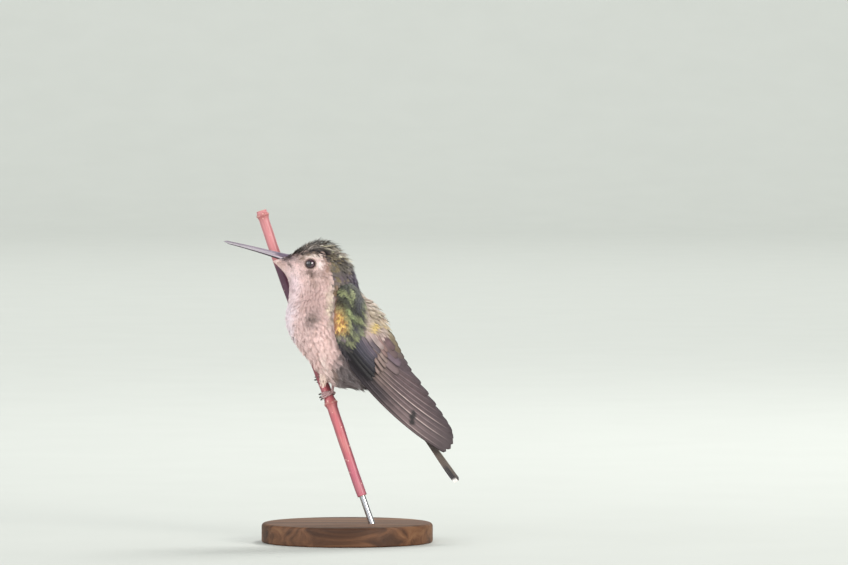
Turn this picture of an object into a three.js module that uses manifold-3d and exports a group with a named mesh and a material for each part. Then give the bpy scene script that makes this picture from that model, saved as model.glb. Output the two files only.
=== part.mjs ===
// A life-size hummingbird clinging to a cut stem, held up by a small display stand.
// Millimetres, +Z up. The bird faces -X, its left side is towards -Y, and the origin is the centre of the
// stand's underside.
import * as THREE from "three";
import { mergeVertices } from "three/addons/utils/BufferGeometryUtils.js";
import Module from "manifold-3d";

const wasm = await Module();
wasm.setup();

// Driving dimensions.
const BASE_RADIUS = 22;
const BASE_HEIGHT = 5;
const BASE_ROUND = 0.9; // rounding of the base's top rim
const ROD_RADIUS = 0.8;
const ROD_SOCKET = 3; // how deep the rod stands in the base
const BIRD_Y = -2.5; // the bird's middle plane
const GAP = 0.3; // clearance between soft neighbours
const FINE_GAP = 0.14; // clearance between small hard neighbours
const EYE_RADIUS = 1.6;
const EYE_OPENING = 1.25; // radius of the part of the eye that shows
const EYE = { x: -9.3, z: 71.75 };
const BILL_LENGTH = 17; // from the feathers of the forehead to the tip
const BILL_BASE = { x: -15.3, z: 72.95 };
const BILL_RISE = THREE.MathUtils.degToRad(17);
const BILL_SAG = 0.6; // how far the tip droops below a straight bill
const BILL_ROOT = 3; // length hidden in the head
const TOE_RADIUS = 0.3;
const TARSUS_RADIUS = 0.35;

// The body from bill to tail, as slices through the middle plane:
// [x, z of the under side, x, z of the upper side, half width, how far the widest point sits above the middle]
const BODY = [
  [-19.2, 72.2, -15.3, 73.9, 0.8, 0],
  [-18.2, 71.3, -13.8, 74.5, 1.8, 0],
  [-17.0, 70.1, -11.8, 76.0, 3.3, 0],
  [-15.8, 68.5, -8.7, 77.5, 4.8, -0.05],
  [-15.1, 66.5, -4.6, 77.5, 5.6, -0.1],
  [-15.1, 64.5, -0.4, 74.1, 5.9, -0.1],
  [-15.3, 62.2, 2.5, 69.2, 6.3, -0.1],
  [-15.9, 59.6, 3.9, 64.7, 7.2, -0.1],
  [-16.1, 56.8, 7.5, 61.2, 8.2, -0.1],
  [-15.3, 53.6, 10.3, 57.0, 8.6, -0.1],
  [-13.3, 50.2, 11.6, 53.0, 8.3, -0.05],
  [-10.6, 46.9, 12.2, 49.4, 7.2, 0],
  [-7.9, 43.4, 12.6, 46.2, 5.9, 0],
  [-3.4, 39.8, 13.4, 43.6, 4.8, 0],
  [2.2, 39.1, 14.6, 41.2, 3.8, 0],
  [7.0, 38.3, 15.8, 39.2, 2.9, 0],
  [10.8, 35.5, 17.0, 37.0, 2.1, 0],
  [13.8, 32.6, 18.0, 34.6, 1.2, 0],
];
const BODY_RINGS = 32;
const BODY_SIDES = 22;
// Where the body is parted, as places along it from 0 at the bill to 1 at the tail.
const HEAD_END = 0.36;
const NECK_END = 0.46;
const TRUNK_END = 0.77;

// The folded wing's leading edge, which is its lower one, and its trailing edge, from shoulder to tip.
// Y is the distance from the bird's middle plane.
const WING_LEAD = [
  [-2.2, 5.8, 66.2],
  [-3.2, 7.9, 61.5],
  [-3.5, 9.2, 56.0],
  [-2.3, 9.4, 50.5],
  [2.0, 8.3, 44.3],
  [8.0, 7.0, 38.0],
  [14.0, 6.1, 31.2],
  [19.6, 5.5, 26.0],
  [24.4, 4.7, 23.2],
  [26.5, 4.1, 23.6],
];
const WING_TRAIL = [
  [1.6, 3.6, 67.3],
  [4.6, 4.4, 62.2],
  [6.6, 5.4, 57.4],
  [11.0, 3.1, 53.8],
  [15.2, 2.0, 46.6],
  [18.9, 1.8, 41.2],
  [22.2, 1.7, 36.1],
  [25.3, 1.9, 31.8],
  [27.5, 2.6, 27.4],
  [27.6, 3.4, 25.0],
];
const WING_BULGE = [0.9, 1.9, 2.2, 1.9, 1.3, 0.9, 0.6, 0.4, 0.2, 0.1];
const WING_THICKNESS = [1.6, 2.2, 2.2, 2.0, 1.5, 1.0, 0.8, 0.7, 0.6, 0.6];
const WING_RINGS = 20;
const WING_CHORD_STEPS = 6;
const ARM_END = 0.47; // the coverts end here, and only flight feathers follow

// The tail's middle line, with its half width and thickness.
const TAIL = [
  [12.5, 38.0, 2.0, 1.5],
  [17.0, 31.9, 2.6, 1.5],
  [21.4, 25.9, 3.2, 1.4],
  [25.2, 20.8, 4.1, 1.2],
  [27.6, 17.5, 4.3, 1.0],
  [28.6, 16.1, 3.3, 0.8],
];
const TAIL_RINGS = 14;
const TAIL_ARCH = 0.5; // the tail's edges hang below its middle by this much

// The stem's middle line with its radius, from the lower cut to the upper one.
const STEM = [
  [3.9, -3.0, 12.0, 1.3],
  [1.0, -2.0, 20.2, 1.3],
  [-2.3, -0.5, 30.0, 1.4],
  [-4.7, 1.0, 37.0, 1.4],
  [-7.4, 2.8, 44.0, 1.36],
  [-10.9, 5.0, 53.0, 1.34],
  [-14.3, 6.6, 62.0, 1.34],
  [-17.6, 7.6, 71.2, 1.34],
  [-20.4, 8.0, 79.4, 1.34],
  [-22.2, 8.2, 85.0, 1.34],
];
const STEM_RINGS = 24;
const STEM_SIDES = 10;
const STEM_NODES = [0.31, 0.965]; // places along the stem where leaves grew
const STEM_NODE_SWELL = 0.42;
const STEM_NODE_LENGTH = 0.012; // share of the stem's length
const STEM_NODE_RINGS = [-1.8, -1.1, -0.5, 0, 0.5, 1.1, 1.8]; // extra rings at a node, in node lengths

// Each foot: where it grips along the stem, where the leg enters the thigh, how far round the stem the
// sole sits from the belly's side, in degrees, and which way round its front toes go.
const FEET = {
  left: { grip: 0.345, hip: [-4.0, -1.8, 42.6], sole: 46, way: 1 },
  right: { grip: 0.42, hip: [-4.4, 2.6, 45.2], sole: 10, way: -1 },
};
const TOES = [
  { name: "inner", spread: -0.85, length: 3.1, way: 1 },
  { name: "middle", spread: -0.08, length: 3.7, way: 1 },
  { name: "outer", spread: 0.7, length: 3.1, way: 1 },
  { name: "hind", spread: 0.08, length: 2.6, way: -1 },
];
const CLAW_LENGTH = 1.35;
// The tufted thighs, from deep in the belly down to the leg.
const THIGHS = {
  left: [[-2.0, -5.2, 47.5, 2.6], [-5.0, -3.9, 44.4, 2.2], [-6.0, -3.0, 42.0, 1.6], [-6.2, -2.5, 40.7, 0.9]],
  right: [[-0.5, 1.0, 47.5, 2.4], [-2.6, 2.6, 45.6, 1.8], [-3.6, 2.9, 44.2, 1.2], [-4.0, 2.9, 43.4, 0.6]],
};

const COLOURS = {
  green: 0x5d6440,
  pale: 0xcdbcb4,
  wing: 0x5a4c4c,
  bill: 0x2b2a2e,
  eye: 0x120c0a,
  foot: 0x4a3f3c,
  stem: 0xc0606a,
  steel: 0xa9abad,
  wood: 0x6b4a30,
};

const v3 = (x, y, z) => new THREE.Vector3(x, y, z);

function material(colour, roughness = 0.7, metalness = 0) {
  return new THREE.MeshStandardMaterial({ color: colour, roughness, metalness });
}

// One number of a table's column, smoothly read at a share of the way down it.
function column(table, index, t) {
  const line = new THREE.SplineCurve(table.map((row, i) => new THREE.Vector2(i, row[index])));
  return line.getPoint(THREE.MathUtils.clamp(t, 0, 1)).y;
}

// A closed solid through rings of equally many points, closed at both ends by a fan.
function loft(rings) {
  const n = rings[0].length;
  const middle = (ring) => ring.reduce((sum, p) => sum.add(p), v3(0, 0, 0)).divideScalar(n);
  const points = [...rings.flat(), middle(rings[0]), middle(rings[rings.length - 1])];
  const faces = [];
  for (let r = 0; r + 1 < rings.length; r++) {
    for (let i = 0; i < n; i++) {
      const [a, b] = [r * n + i, r * n + ((i + 1) % n)];
      faces.push(a, b, b + n, a, b + n, a + n);
    }
  }
  const last = (rings.length - 1) * n;
  for (let i = 0; i < n; i++) {
    faces.push(points.length - 2, (i + 1) % n, i);
    faces.push(points.length - 1, last + i, last + ((i + 1) % n));
  }
  return geometry(points, faces);
}

// A geometry from points and faces, turned round if its faces point inwards.
function geometry(points, faces) {
  let volume = 0;
  for (let i = 0; i < faces.length; i += 3) {
    const [a, b, c] = [points[faces[i]], points[faces[i + 1]], points[faces[i + 2]]];
    volume += a.dot(b.clone().cross(c));
  }
  const outward = volume > 0 ? faces : faces.slice().reverse();
  return new THREE.BufferGeometry().setFromPoints(points).setIndex(outward);
}

// A geometry as a manifold solid, for joining and cutting.
function solid(shape) {
  const plain = shape.clone();
  plain.deleteAttribute("normal");
  plain.deleteAttribute("uv");
  const merged = mergeVertices(plain, 1e-4);
  return new wasm.Manifold(
    new wasm.Mesh({
      numProp: 3,
      vertProperties: new Float32Array(merged.attributes.position.array),
      triVerts: new Uint32Array(merged.index.array),
    }),
  );
}

function mesh(name, shape, finish) {
  let made = shape;
  if (!shape.isBufferGeometry) {
    const { vertProperties, triVerts } = shape.getMesh();
    made = new THREE.BufferGeometry();
    made.setAttribute("position", new THREE.BufferAttribute(vertProperties, 3));
    made.setIndex(new THREE.BufferAttribute(triVerts, 1));
  }
  made.computeVertexNormals();
  const piece = new THREE.Mesh(made, finish);
  piece.name = name;
  return piece;
}

// A tube along points, whose radius is a function of the share of its length. Its rings are even, with
// more of them at the extra places.
function sweep(points, radius, { rings = 12, sides = 8, extra = [] } = {}) {
  const path = new THREE.CatmullRomCurve3(points);
  const even = Array.from({ length: rings + 1 }, (_, r) => r / rings);
  const clear = even.filter((t) => extra.every((place) => Math.abs(place - t) > 0.005));
  const places = [...clear, ...extra.filter((t) => t < 0.995)].sort((a, b) => a - b);
  let across = v3(0, 1, 0);
  return loft(
    places.map((t) => {
      const centre = path.getPointAt(t);
      const ahead = path.getTangentAt(t);
      const out = ahead.clone().cross(across).normalize();
      across = out.clone().cross(ahead).normalize();
      return Array.from({ length: sides }, (_, i) => {
        const turn = (2 * Math.PI * i) / sides;
        return centre
          .clone()
          .addScaledVector(across, radius(t) * Math.cos(turn))
          .addScaledVector(out, radius(t) * Math.sin(turn));
      });
    }),
  );
}

// The slice through the body at a share of its length.
function bodySlice(t) {
  const [ux, uz, dx, dz, width, rise] = BODY[0].map((_, i) => column(BODY, i, t));
  return { under: v3(ux, 0, uz), upper: v3(dx, 0, dz), width, rise };
}

function bodyRing(t, grow = 0) {
  const { under, upper, width, rise } = bodySlice(t);
  const middle = under.clone().lerp(upper, 0.5);
  const half = upper.clone().sub(under).multiplyScalar(0.5);
  half.setLength(half.length() + grow);
  return Array.from({ length: BODY_SIDES }, (_, i) => {
    const turn = (2 * Math.PI * i) / BODY_SIDES;
    const across = (width + grow) * Math.sin(turn) * (1 + rise * Math.cos(turn));
    return middle.clone().addScaledVector(half, Math.cos(turn)).add(v3(0, across, 0));
  });
}

function bodyGeometry() {
  return loft(Array.from({ length: BODY_RINGS + 1 }, (_, r) => bodyRing(r / BODY_RINGS)));
}

// A thin slab through the body at a share of its length, which parts it there.
function partingSlab(t) {
  const { under, upper } = bodySlice(t);
  const slab = new THREE.BoxGeometry(GAP, 60, 60);
  slab.rotateY(Math.atan2(upper.x - under.x, upper.z - under.z));
  slab.translate((under.x + upper.x) / 2, 0, (under.z + upper.z) / 2);
  return solid(slab);
}

// A wing's flattened section at a share of its length, grown by a margin for cutting its neighbours.
function wingRing(t, side, grow) {
  const lead = v3(...[0, 1, 2].map((i) => column(WING_LEAD, i, t)));
  const trail = v3(...[0, 1, 2].map((i) => column(WING_TRAIL, i, t)));
  const along = trail.clone().sub(lead);
  const out = v3(along.z, 0, -along.x).cross(along).normalize();
  if (out.y < 0) out.negate();
  along.setLength(grow);
  lead.sub(along);
  trail.add(along);
  const bulge = column(WING_BULGE.map((b) => [b]), 0, t);
  const thick = column(WING_THICKNESS.map((h) => [h]), 0, t) / 2 + grow;
  const ring = [];
  for (const face of [1, -1]) {
    for (let i = 0; i < WING_CHORD_STEPS; i++) {
      const share = face > 0 ? i / WING_CHORD_STEPS : 1 - i / WING_CHORD_STEPS;
      const edge = Math.sqrt(Math.max(0, 1 - (2 * share - 1) ** 4));
      const lift = bulge * Math.sin(Math.PI * share) + face * thick * edge;
      ring.push(lead.clone().lerp(trail, share).addScaledVector(out, lift));
    }
  }
  return ring.map((p) => v3(p.x, side * p.y, p.z));
}

function wingGeometry(side, grow = 0) {
  const steps = Array.from({ length: WING_RINGS + 1 }, (_, r) => r / WING_RINGS);
  return loft(steps.map((t) => wingRing(t, side, grow)));
}

// The slab that parts the coverts from the flight feathers.
function wingSlab(side) {
  const lead = v3(...[0, 1, 2].map((i) => column(WING_LEAD, i, ARM_END)));
  const trail = v3(...[0, 1, 2].map((i) => column(WING_TRAIL, i, ARM_END)));
  const slab = new THREE.BoxGeometry(GAP, 24, 24);
  slab.rotateY(Math.atan2(trail.x - lead.x, trail.z - lead.z));
  slab.translate((lead.x + trail.x) / 2, side * (lead.y + trail.y) / 2, (lead.z + trail.z) / 2);
  return solid(slab);
}

// The folded tail: flat blades in a shallow arch, wider towards the tip.
function tailGeometry(grow = 0) {
  const sides = 14;
  return loft(
    Array.from({ length: TAIL_RINGS + 1 }, (_, r) => {
      const t = r / TAIL_RINGS;
      const [x, z, width, thick] = TAIL[0].map((_, i) => column(TAIL, i, t));
      const ahead = v3(column(TAIL, 0, t + 0.01) - column(TAIL, 0, t - 0.01), 0, 0);
      ahead.z = column(TAIL, 1, t + 0.01) - column(TAIL, 1, t - 0.01);
      const up = v3(-ahead.z, 0, ahead.x).normalize();
      return Array.from({ length: sides }, (_, i) => {
        const turn = (2 * Math.PI * i) / sides;
        const across = (width + grow) * Math.cos(turn);
        const lift = (thick / 2 + grow) * Math.sin(turn) - TAIL_ARCH * Math.cos(turn) ** 2;
        return v3(x, across, z).addScaledVector(up, lift);
      });
    }),
  );
}

// Bill halves: a straight line with a slight droop, tapering, flat where the halves meet.
function billPoint(along) {
  const drop = BILL_SAG * Math.max(0, along / BILL_LENGTH) ** 2;
  return v3(
    BILL_BASE.x - along * Math.cos(BILL_RISE) - drop * Math.sin(BILL_RISE),
    0,
    BILL_BASE.z + along * Math.sin(BILL_RISE) - drop * Math.cos(BILL_RISE),
  );
}

function billHalf(way, reach, grow = 0) {
  const rings = 16;
  const sides = 8;
  const up = v3(Math.sin(BILL_RISE), 0, Math.cos(BILL_RISE));
  return loft(
    Array.from({ length: rings + 1 }, (_, r) => {
      const along = -BILL_ROOT - grow + (reach + BILL_ROOT + grow) * (r / rings);
      const taper = THREE.MathUtils.clamp(along / BILL_LENGTH, 0, 1);
      const end = Math.sqrt(Math.max(0.12, 1 - THREE.MathUtils.smoothstep(along, reach - 1.2, reach)));
      const width = (1.15 - 0.8 * taper ** 0.62) * end + grow;
      const height = ((way > 0 ? 1.2 : 0.95) - (way > 0 ? 0.8 : 0.62) * taper ** 0.62) * end + 2 * grow;
      const parting = way * (FINE_GAP / 2 - grow);
      return Array.from({ length: sides }, (_, i) => {
        const turn = (Math.PI * i) / (sides - 1);
        const lift = way * height * Math.sin(turn) + parting;
        return billPoint(along)
          .add(v3(0, width * Math.cos(turn), 0))
          .addScaledVector(up, lift);
      });
    }),
  );
}

const stemCurve = new THREE.CatmullRomCurve3(STEM.map(([x, y, z]) => v3(x, y, z)));

function stemRadius(t) {
  const swell = STEM_NODES.reduce(
    (sum, node) => sum + STEM_NODE_SWELL * Math.exp(-(((t - node) / STEM_NODE_LENGTH) ** 2)),
    0,
  );
  return column(STEM, 3, t) + swell;
}

function stemGeometry(grow = 0) {
  const radius = (t) => stemRadius(t) + grow;
  const points = STEM.map(([x, y, z]) => v3(x, y, z));
  const extra = STEM_NODES.flatMap((node) => STEM_NODE_RINGS.map((n) => node + n * STEM_NODE_LENGTH));
  return sweep(points, radius, { rings: STEM_RINGS, sides: STEM_SIDES, extra });
}

// Square axes on the stem at a share of its length: up it, towards -Y and towards the belly.
function stemFrame(t) {
  const centre = stemCurve.getPointAt(t);
  const up = stemCurve.getTangentAt(t);
  const near = v3(0, -1, 0).addScaledVector(up, up.y).normalize();
  const belly = up.clone().cross(near);
  return { centre, up, near, belly };
}

// A point beside the stem: an angle round it from the side that faces the belly, and a height up it.
function besideStem(frame, angle, radius, height) {
  return frame.centre
    .clone()
    .addScaledVector(frame.belly, radius * Math.cos(angle))
    .addScaledVector(frame.near, radius * Math.sin(angle))
    .addScaledVector(frame.up, height);
}

// The line of a toe, from the sole round the stem, and of the claw that goes on from it.
function toeLine(foot, toe, from, to, lift) {
  const frame = stemFrame(foot.grip);
  const ring = stemRadius(foot.grip) + TOE_RADIUS + FINE_GAP;
  const sole = THREE.MathUtils.degToRad(foot.sole);
  return Array.from({ length: 6 }, (_, i) => {
    const run = from + ((to - from) * i) / 5;
    const share = run / (toe.length + CLAW_LENGTH);
    const angle = foot.way * (sole + toe.way * (run / ring));
    return besideStem(frame, angle, ring + lift(i / 5), -toe.spread * Math.sqrt(share));
  });
}

function clawGeometry(foot, toe, grow = 0) {
  const lift = (t) => 0.35 * Math.sin(Math.PI * t);
  const line = toeLine(foot, toe, toe.length + 0.1, toe.length + CLAW_LENGTH, lift);
  return sweep(line, (t) => 0.3 - 0.22 * t + grow, { rings: 5, sides: 5 });
}

// A leg with its toes, grown by a margin for cutting its neighbours.
function legSolid(foot, grow = 0) {
  const frame = stemFrame(foot.grip);
  const sole = foot.way * THREE.MathUtils.degToRad(foot.sole);
  const ring = stemRadius(foot.grip) + TOE_RADIUS + FINE_GAP;
  const heel = besideStem(frame, sole, ring + 0.15, 0);
  const hip = v3(...foot.hip);
  const knee = heel.clone().lerp(hip, 0.5).add(v3(0.25, 0, -0.1));
  const thickness = (t) => TARSUS_RADIUS + 0.1 * t + grow;
  hip.addScaledVector(hip.clone().sub(knee).normalize(), grow);
  let made = solid(sweep([heel, knee, hip], thickness, { rings: 4, sides: 8 }));
  for (const toe of TOES) {
    const line = toeLine(foot, toe, 0, toe.length, () => 0);
    const knuckles = (t) => TOE_RADIUS * (1 + 0.1 * Math.cos(6 * Math.PI * t) - 0.12 * t) + grow;
    made = made.add(solid(sweep(line, knuckles, { rings: 5, sides: 6 })));
  }
  return made;
}

function standBase(rod) {
  const rim = [new THREE.Vector2(0, 0), new THREE.Vector2(BASE_RADIUS - 0.5, 0)];
  rim.push(new THREE.Vector2(BASE_RADIUS, 0.5));
  for (let i = 0; i <= 3; i++) {
    const turn = (Math.PI / 2) * (i / 3);
    const out = BASE_RADIUS - BASE_ROUND * (1 - Math.cos(turn));
    rim.push(new THREE.Vector2(out, BASE_HEIGHT - BASE_ROUND * (1 - Math.sin(turn))));
  }
  rim.push(new THREE.Vector2(0, BASE_HEIGHT));
  const disc = new THREE.LatheGeometry(rim, 40);
  disc.rotateX(Math.PI / 2);
  return solid(disc).subtract(rod);
}

// The rod goes on from the stem's lower end into the base.
function rodGeometry(grow = 0) {
  const lower = stemCurve.getPointAt(0);
  const along = stemCurve.getTangentAt(0);
  const down = (lower.z - BASE_HEIGHT + ROD_SOCKET + grow) / along.z;
  const foot = lower.clone().addScaledVector(along, -down);
  const head = lower.clone().addScaledVector(along, 5 + grow);
  return sweep([foot, foot.clone().lerp(head, 0.5), head], () => ROD_RADIUS + grow, { rings: 2, sides: 16 });
}

const bird = new THREE.Group();
const root = new THREE.Group();
root.add(bird);
bird.position.y = BIRD_Y;

// The stem and the feet are laid out in the stand's frame, and the body in the bird's own.
const inBird = (shape) => shape.clone().translate(0, -BIRD_Y, 0);

const body = bodyGeometry();
const probe = new THREE.Raycaster(v3(EYE.x, -40, EYE.z), v3(0, 1, 0));
const cheek = probe.intersectObject(new THREE.Mesh(body, material(COLOURS.pale)))[0].point.y;
const eyeDepth = Math.sqrt((EYE_RADIUS + FINE_GAP) ** 2 - EYE_OPENING ** 2);

function eyeGeometry(side, grow = 0) {
  const ball = new THREE.SphereGeometry(EYE_RADIUS + grow, 14, 9);
  return ball.translate(EYE.x, side * (-cheek - eyeDepth), EYE.z);
}

// Flesh: the whole body with its thighs, less what stands in it, parted by thin cuts.
const thighs = Object.values(THIGHS).map((rows) => {
  const points = rows.map(([x, y, z]) => v3(x, y - BIRD_Y, z));
  return solid(sweep(points, (t) => column(rows, 3, t), { rings: 10, sides: 14 }));
});
let flesh = solid(body).add(thighs[0]).add(thighs[1]).subtract(solid(inBird(stemGeometry(GAP))));
flesh = flesh.subtract(solid(tailGeometry(GAP)));
flesh = flesh.subtract(solid(billHalf(1, BILL_LENGTH, FINE_GAP))).subtract(solid(billHalf(-1, BILL_LENGTH, FINE_GAP)));
for (const side of [-1, 1]) {
  flesh = flesh.subtract(solid(wingGeometry(side, GAP))).subtract(solid(eyeGeometry(side, FINE_GAP)));
}
for (const foot of Object.values(FEET)) {
  flesh = flesh.subtract(legSolid(foot, GAP).translate([0, -BIRD_Y, 0]));
  for (const toe of TOES) {
    flesh = flesh.subtract(solid(inBird(clawGeometry(foot, toe, GAP))));
  }
}
for (const end of [HEAD_END, NECK_END, TRUNK_END]) {
  flesh = flesh.subtract(partingSlab(end));
}

const parts = flesh.decompose().sort((a, b) => b.volume() - a.volume()).slice(0, 4);
const placeAlong = (part) => {
  const { min, max } = part.boundingBox();
  return (min[0] + max[0]) / 2 - (min[2] + max[2]) / 2;
};
parts.sort((a, b) => placeAlong(a) - placeAlong(b));
["head", "neck", "trunk", "tail_coverts"].forEach((name, i) => {
  bird.add(mesh(name, parts[i], material(COLOURS.pale)));
});

bird.add(mesh("bill_upper", billHalf(1, BILL_LENGTH), material(COLOURS.bill, 0.4)));
bird.add(mesh("bill_lower", billHalf(-1, BILL_LENGTH - 0.5), material(COLOURS.bill, 0.4)));
bird.add(mesh("tail", tailGeometry(), material(COLOURS.wing)));

for (const [word, side] of [["left", -1], ["right", 1]]) {
  bird.add(mesh(`eye_${word}`, eyeGeometry(side), material(COLOURS.eye, 0.08)));
  const halves = solid(wingGeometry(side)).subtract(wingSlab(side)).decompose();
  halves.sort((a, b) => b.boundingBox().max[2] - a.boundingBox().max[2]);
  bird.add(mesh(`wing_${word}_coverts`, halves[0], material(COLOURS.green)));
  bird.add(mesh(`wing_${word}_flight`, halves[1], material(COLOURS.wing)));
  root.add(mesh(`leg_${word}`, legSolid(FEET[word]), material(COLOURS.foot)));
  for (const toe of TOES) {
    root.add(mesh(`claw_${word}_${toe.name}`, clawGeometry(FEET[word], toe), material(COLOURS.bill, 0.35)));
  }
}

const socketRod = solid(rodGeometry(FINE_GAP));
root.add(mesh("perch_stem", solid(stemGeometry()).subtract(socketRod), material(COLOURS.stem)));
root.add(mesh("stand_rod", rodGeometry(), material(COLOURS.steel, 0.3, 1)));
root.add(mesh("stand_base", standBase(socketRod), material(COLOURS.wood, 0.5)));

export default root;
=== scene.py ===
"""A life-size hummingbird clinging to a cut stem on a small display stand.

Lengths in the tables are millimetres, in the bird's own frame: it faces -X, its middle plane is Y = 0,
and +Z is up. Meshes are made in metres.
"""

import math

import bpy
import numpy as np
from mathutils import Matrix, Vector, kdtree


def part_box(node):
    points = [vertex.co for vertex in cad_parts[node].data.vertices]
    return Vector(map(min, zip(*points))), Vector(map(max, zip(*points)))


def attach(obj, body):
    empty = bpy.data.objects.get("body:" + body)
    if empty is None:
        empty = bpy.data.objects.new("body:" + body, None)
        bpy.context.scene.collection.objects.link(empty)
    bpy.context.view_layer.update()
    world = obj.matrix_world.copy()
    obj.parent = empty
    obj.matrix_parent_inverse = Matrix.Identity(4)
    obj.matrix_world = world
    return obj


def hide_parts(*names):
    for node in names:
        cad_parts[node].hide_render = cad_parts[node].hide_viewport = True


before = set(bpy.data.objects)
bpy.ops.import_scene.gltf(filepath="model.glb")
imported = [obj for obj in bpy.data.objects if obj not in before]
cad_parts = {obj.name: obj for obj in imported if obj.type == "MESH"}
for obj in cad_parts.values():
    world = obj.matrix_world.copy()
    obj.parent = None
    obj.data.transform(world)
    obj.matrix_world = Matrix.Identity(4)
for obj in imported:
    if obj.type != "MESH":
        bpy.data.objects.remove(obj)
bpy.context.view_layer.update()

MM = 0.001
BIRD_Y = -2.5  # the bird's middle plane, seen from the stand's centre
LEFT, RIGHT = -1, 1
SIDES = {"left": LEFT, "right": RIGHT}

# The body from bill to tail, as slices through the middle plane:
# x, z of the under side, x, z of the upper side, half width, how far the widest point sits above the middle.
BODY = [
    [-19.2, 72.2, -15.3, 73.9, 0.8, 0],
    [-18.2, 71.3, -13.8, 74.5, 1.8, 0],
    [-17.0, 70.1, -11.8, 76.0, 3.3, 0],
    [-15.8, 68.5, -8.7, 77.5, 4.8, -0.05],
    [-15.1, 66.5, -4.6, 77.5, 5.6, -0.1],
    [-15.1, 64.5, -0.4, 74.1, 5.9, -0.1],
    [-15.3, 62.2, 2.5, 69.2, 6.3, -0.1],
    [-15.9, 59.6, 3.9, 64.7, 7.2, -0.1],
    [-16.1, 56.8, 7.5, 61.2, 8.2, -0.1],
    [-15.3, 53.6, 10.3, 57.0, 8.6, -0.1],
    [-13.3, 50.2, 11.6, 53.0, 8.3, -0.05],
    [-10.6, 46.9, 12.2, 49.4, 7.2, 0],
    [-7.9, 43.4, 12.6, 46.2, 5.9, 0],
    [-3.4, 39.8, 13.4, 43.6, 4.8, 0],
    [2.2, 39.1, 14.6, 41.2, 3.8, 0],
    [7.0, 38.3, 15.8, 39.2, 2.9, 0],
    [10.8, 35.5, 17.0, 37.0, 2.1, 0],
    [13.8, 32.6, 18.0, 34.6, 1.2, 0],
]
# The tufted thighs, from deep in the belly down to the leg: x, y, z, radius. Y is from the stand's centre.
THIGHS = {
    "left": [(-2, -5.2, 47.5, 2.6), (-5, -3.9, 44.4, 2.2), (-6, -3, 42, 1.6), (-6.2, -2.5, 40.7, 0.9)],
    "right": [(-0.5, 1.0, 47.5, 2.4), (-2.6, 2.6, 45.6, 1.8), (-3.6, 2.9, 44.2, 1.2), (-4.0, 2.9, 43.4, 0.6)],
}
# The folded wing's leading edge, which is its lower one, and its trailing edge, from shoulder to tip.
WING_LEAD = [
    [-2.2, 5.2, 66.2],
    [-3.2, 7.9, 61.5],
    [-3.5, 9.2, 56.0],
    [-2.3, 9.4, 50.5],
    [2.0, 8.3, 44.3],
    [8.0, 7.0, 38.0],
    [14.0, 6.1, 31.2],
    [19.6, 5.5, 26.0],
    [24.4, 4.7, 23.2],
    [26.5, 4.1, 23.6],
]
WING_TRAIL = [
    [1.6, 2.5, 67.3],
    [4.6, 4.4, 62.2],
    [6.6, 5.4, 57.4],
    [11.0, 3.1, 53.8],
    [15.2, 2.0, 46.6],
    [18.9, 1.8, 41.2],
    [22.2, 1.7, 36.1],
    [25.3, 1.9, 31.8],
    [27.5, 2.6, 27.4],
    [27.6, 3.4, 25.0],
]
WING_BULGE = [[0.1], [1.6], [2.2], [1.9], [1.3], [0.9], [0.6], [0.4], [0.2], [0.1]]
WING_THICKNESS = [[1.6], [2.2], [2.2], [2.0], [1.5], [1.0], [0.8], [0.7], [0.6], [0.6]]
# The tail's middle line: x, z, half width, thickness.
TAIL = [
    [12.5, 38.0, 2.0, 1.5],
    [17.0, 31.9, 2.6, 1.5],
    [21.4, 25.9, 3.2, 1.4],
    [25.2, 20.8, 4.1, 1.2],
    [27.6, 17.5, 4.3, 1.0],
    [28.6, 16.1, 3.3, 0.8],
]
# The stem's middle line with its radius, from the lower cut to the upper one, in the stand's frame.
STEM = [
    [3.9, -3.0, 12.0, 1.3],
    [1.0, -2.0, 20.2, 1.3],
    [-2.3, -0.5, 30.0, 1.4],
    [-4.7, 1.0, 37.0, 1.4],
    [-7.4, 2.8, 44.0, 1.36],
    [-10.9, 5.0, 53.0, 1.34],
    [-14.3, 6.6, 62.0, 1.34],
    [-17.6, 7.6, 71.2, 1.34],
    [-20.4, 8.0, 79.4, 1.34],
    [-22.2, 8.2, 85.0, 1.34],
]
STEM_LENGTH = 76.0
STEM_NODES = [0.31, 0.965]  # places along the stem where leaves grew
STEM_NODE_SWELL = 0.42
STEM_NODE_LENGTH = 0.012
# Where along the stem each foot grips, where its leg comes from, at which angle round the stem from the belly
# side its sole sits, in degrees, and which way round that is.
FEET = {
    "left": {"grip": 0.345, "hip": [-4.0, -1.8, 42.6], "sole": 46, "way": 1},
    "right": {"grip": 0.42, "hip": [-4.4, 2.6, 45.2], "sole": 10, "way": -1},
}
# How far each toe spreads along the stem, its length, and whether it goes round forwards or backwards.
TOES = {
    "inner": {"spread": -0.85, "length": 3.1, "way": 1},
    "middle": {"spread": -0.08, "length": 3.7, "way": 1},
    "outer": {"spread": 0.7, "length": 3.1, "way": 1},
    "hind": {"spread": 0.08, "length": 2.6, "way": -1},
}
TOE_RADIUS = 0.3
TARSUS_RADIUS = 0.35
CLAW_LENGTH = 1.35
FINE_GAP = 0.14  # between the toes and the bark
EYE_RADIUS = 1.6
LID_LENGTH, LID_HEIGHT = 1.32, 1.22  # half measures of the rim round the eye
BILL_LENGTH = 17.0
BILL_BASE = (-15.3, 72.95)
BILL_RISE = math.radians(17)
BILL_SAG = 0.6
BILL_ROOT = 3.0  # how far the bill goes back into the head


# ------------------------------------------------------------
# Numbers, curves and colours


def linear(colour):
    """An sRGB hex colour as linear red, green and blue."""
    parts = np.array([int(colour[i : i + 2], 16) for i in (1, 3, 5)]) / 255
    return np.where(parts <= 0.04045, parts / 12.92, ((parts + 0.055) / 1.055) ** 2.4)


def rgba(colour):
    return (*linear(colour), 1.0)


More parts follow.
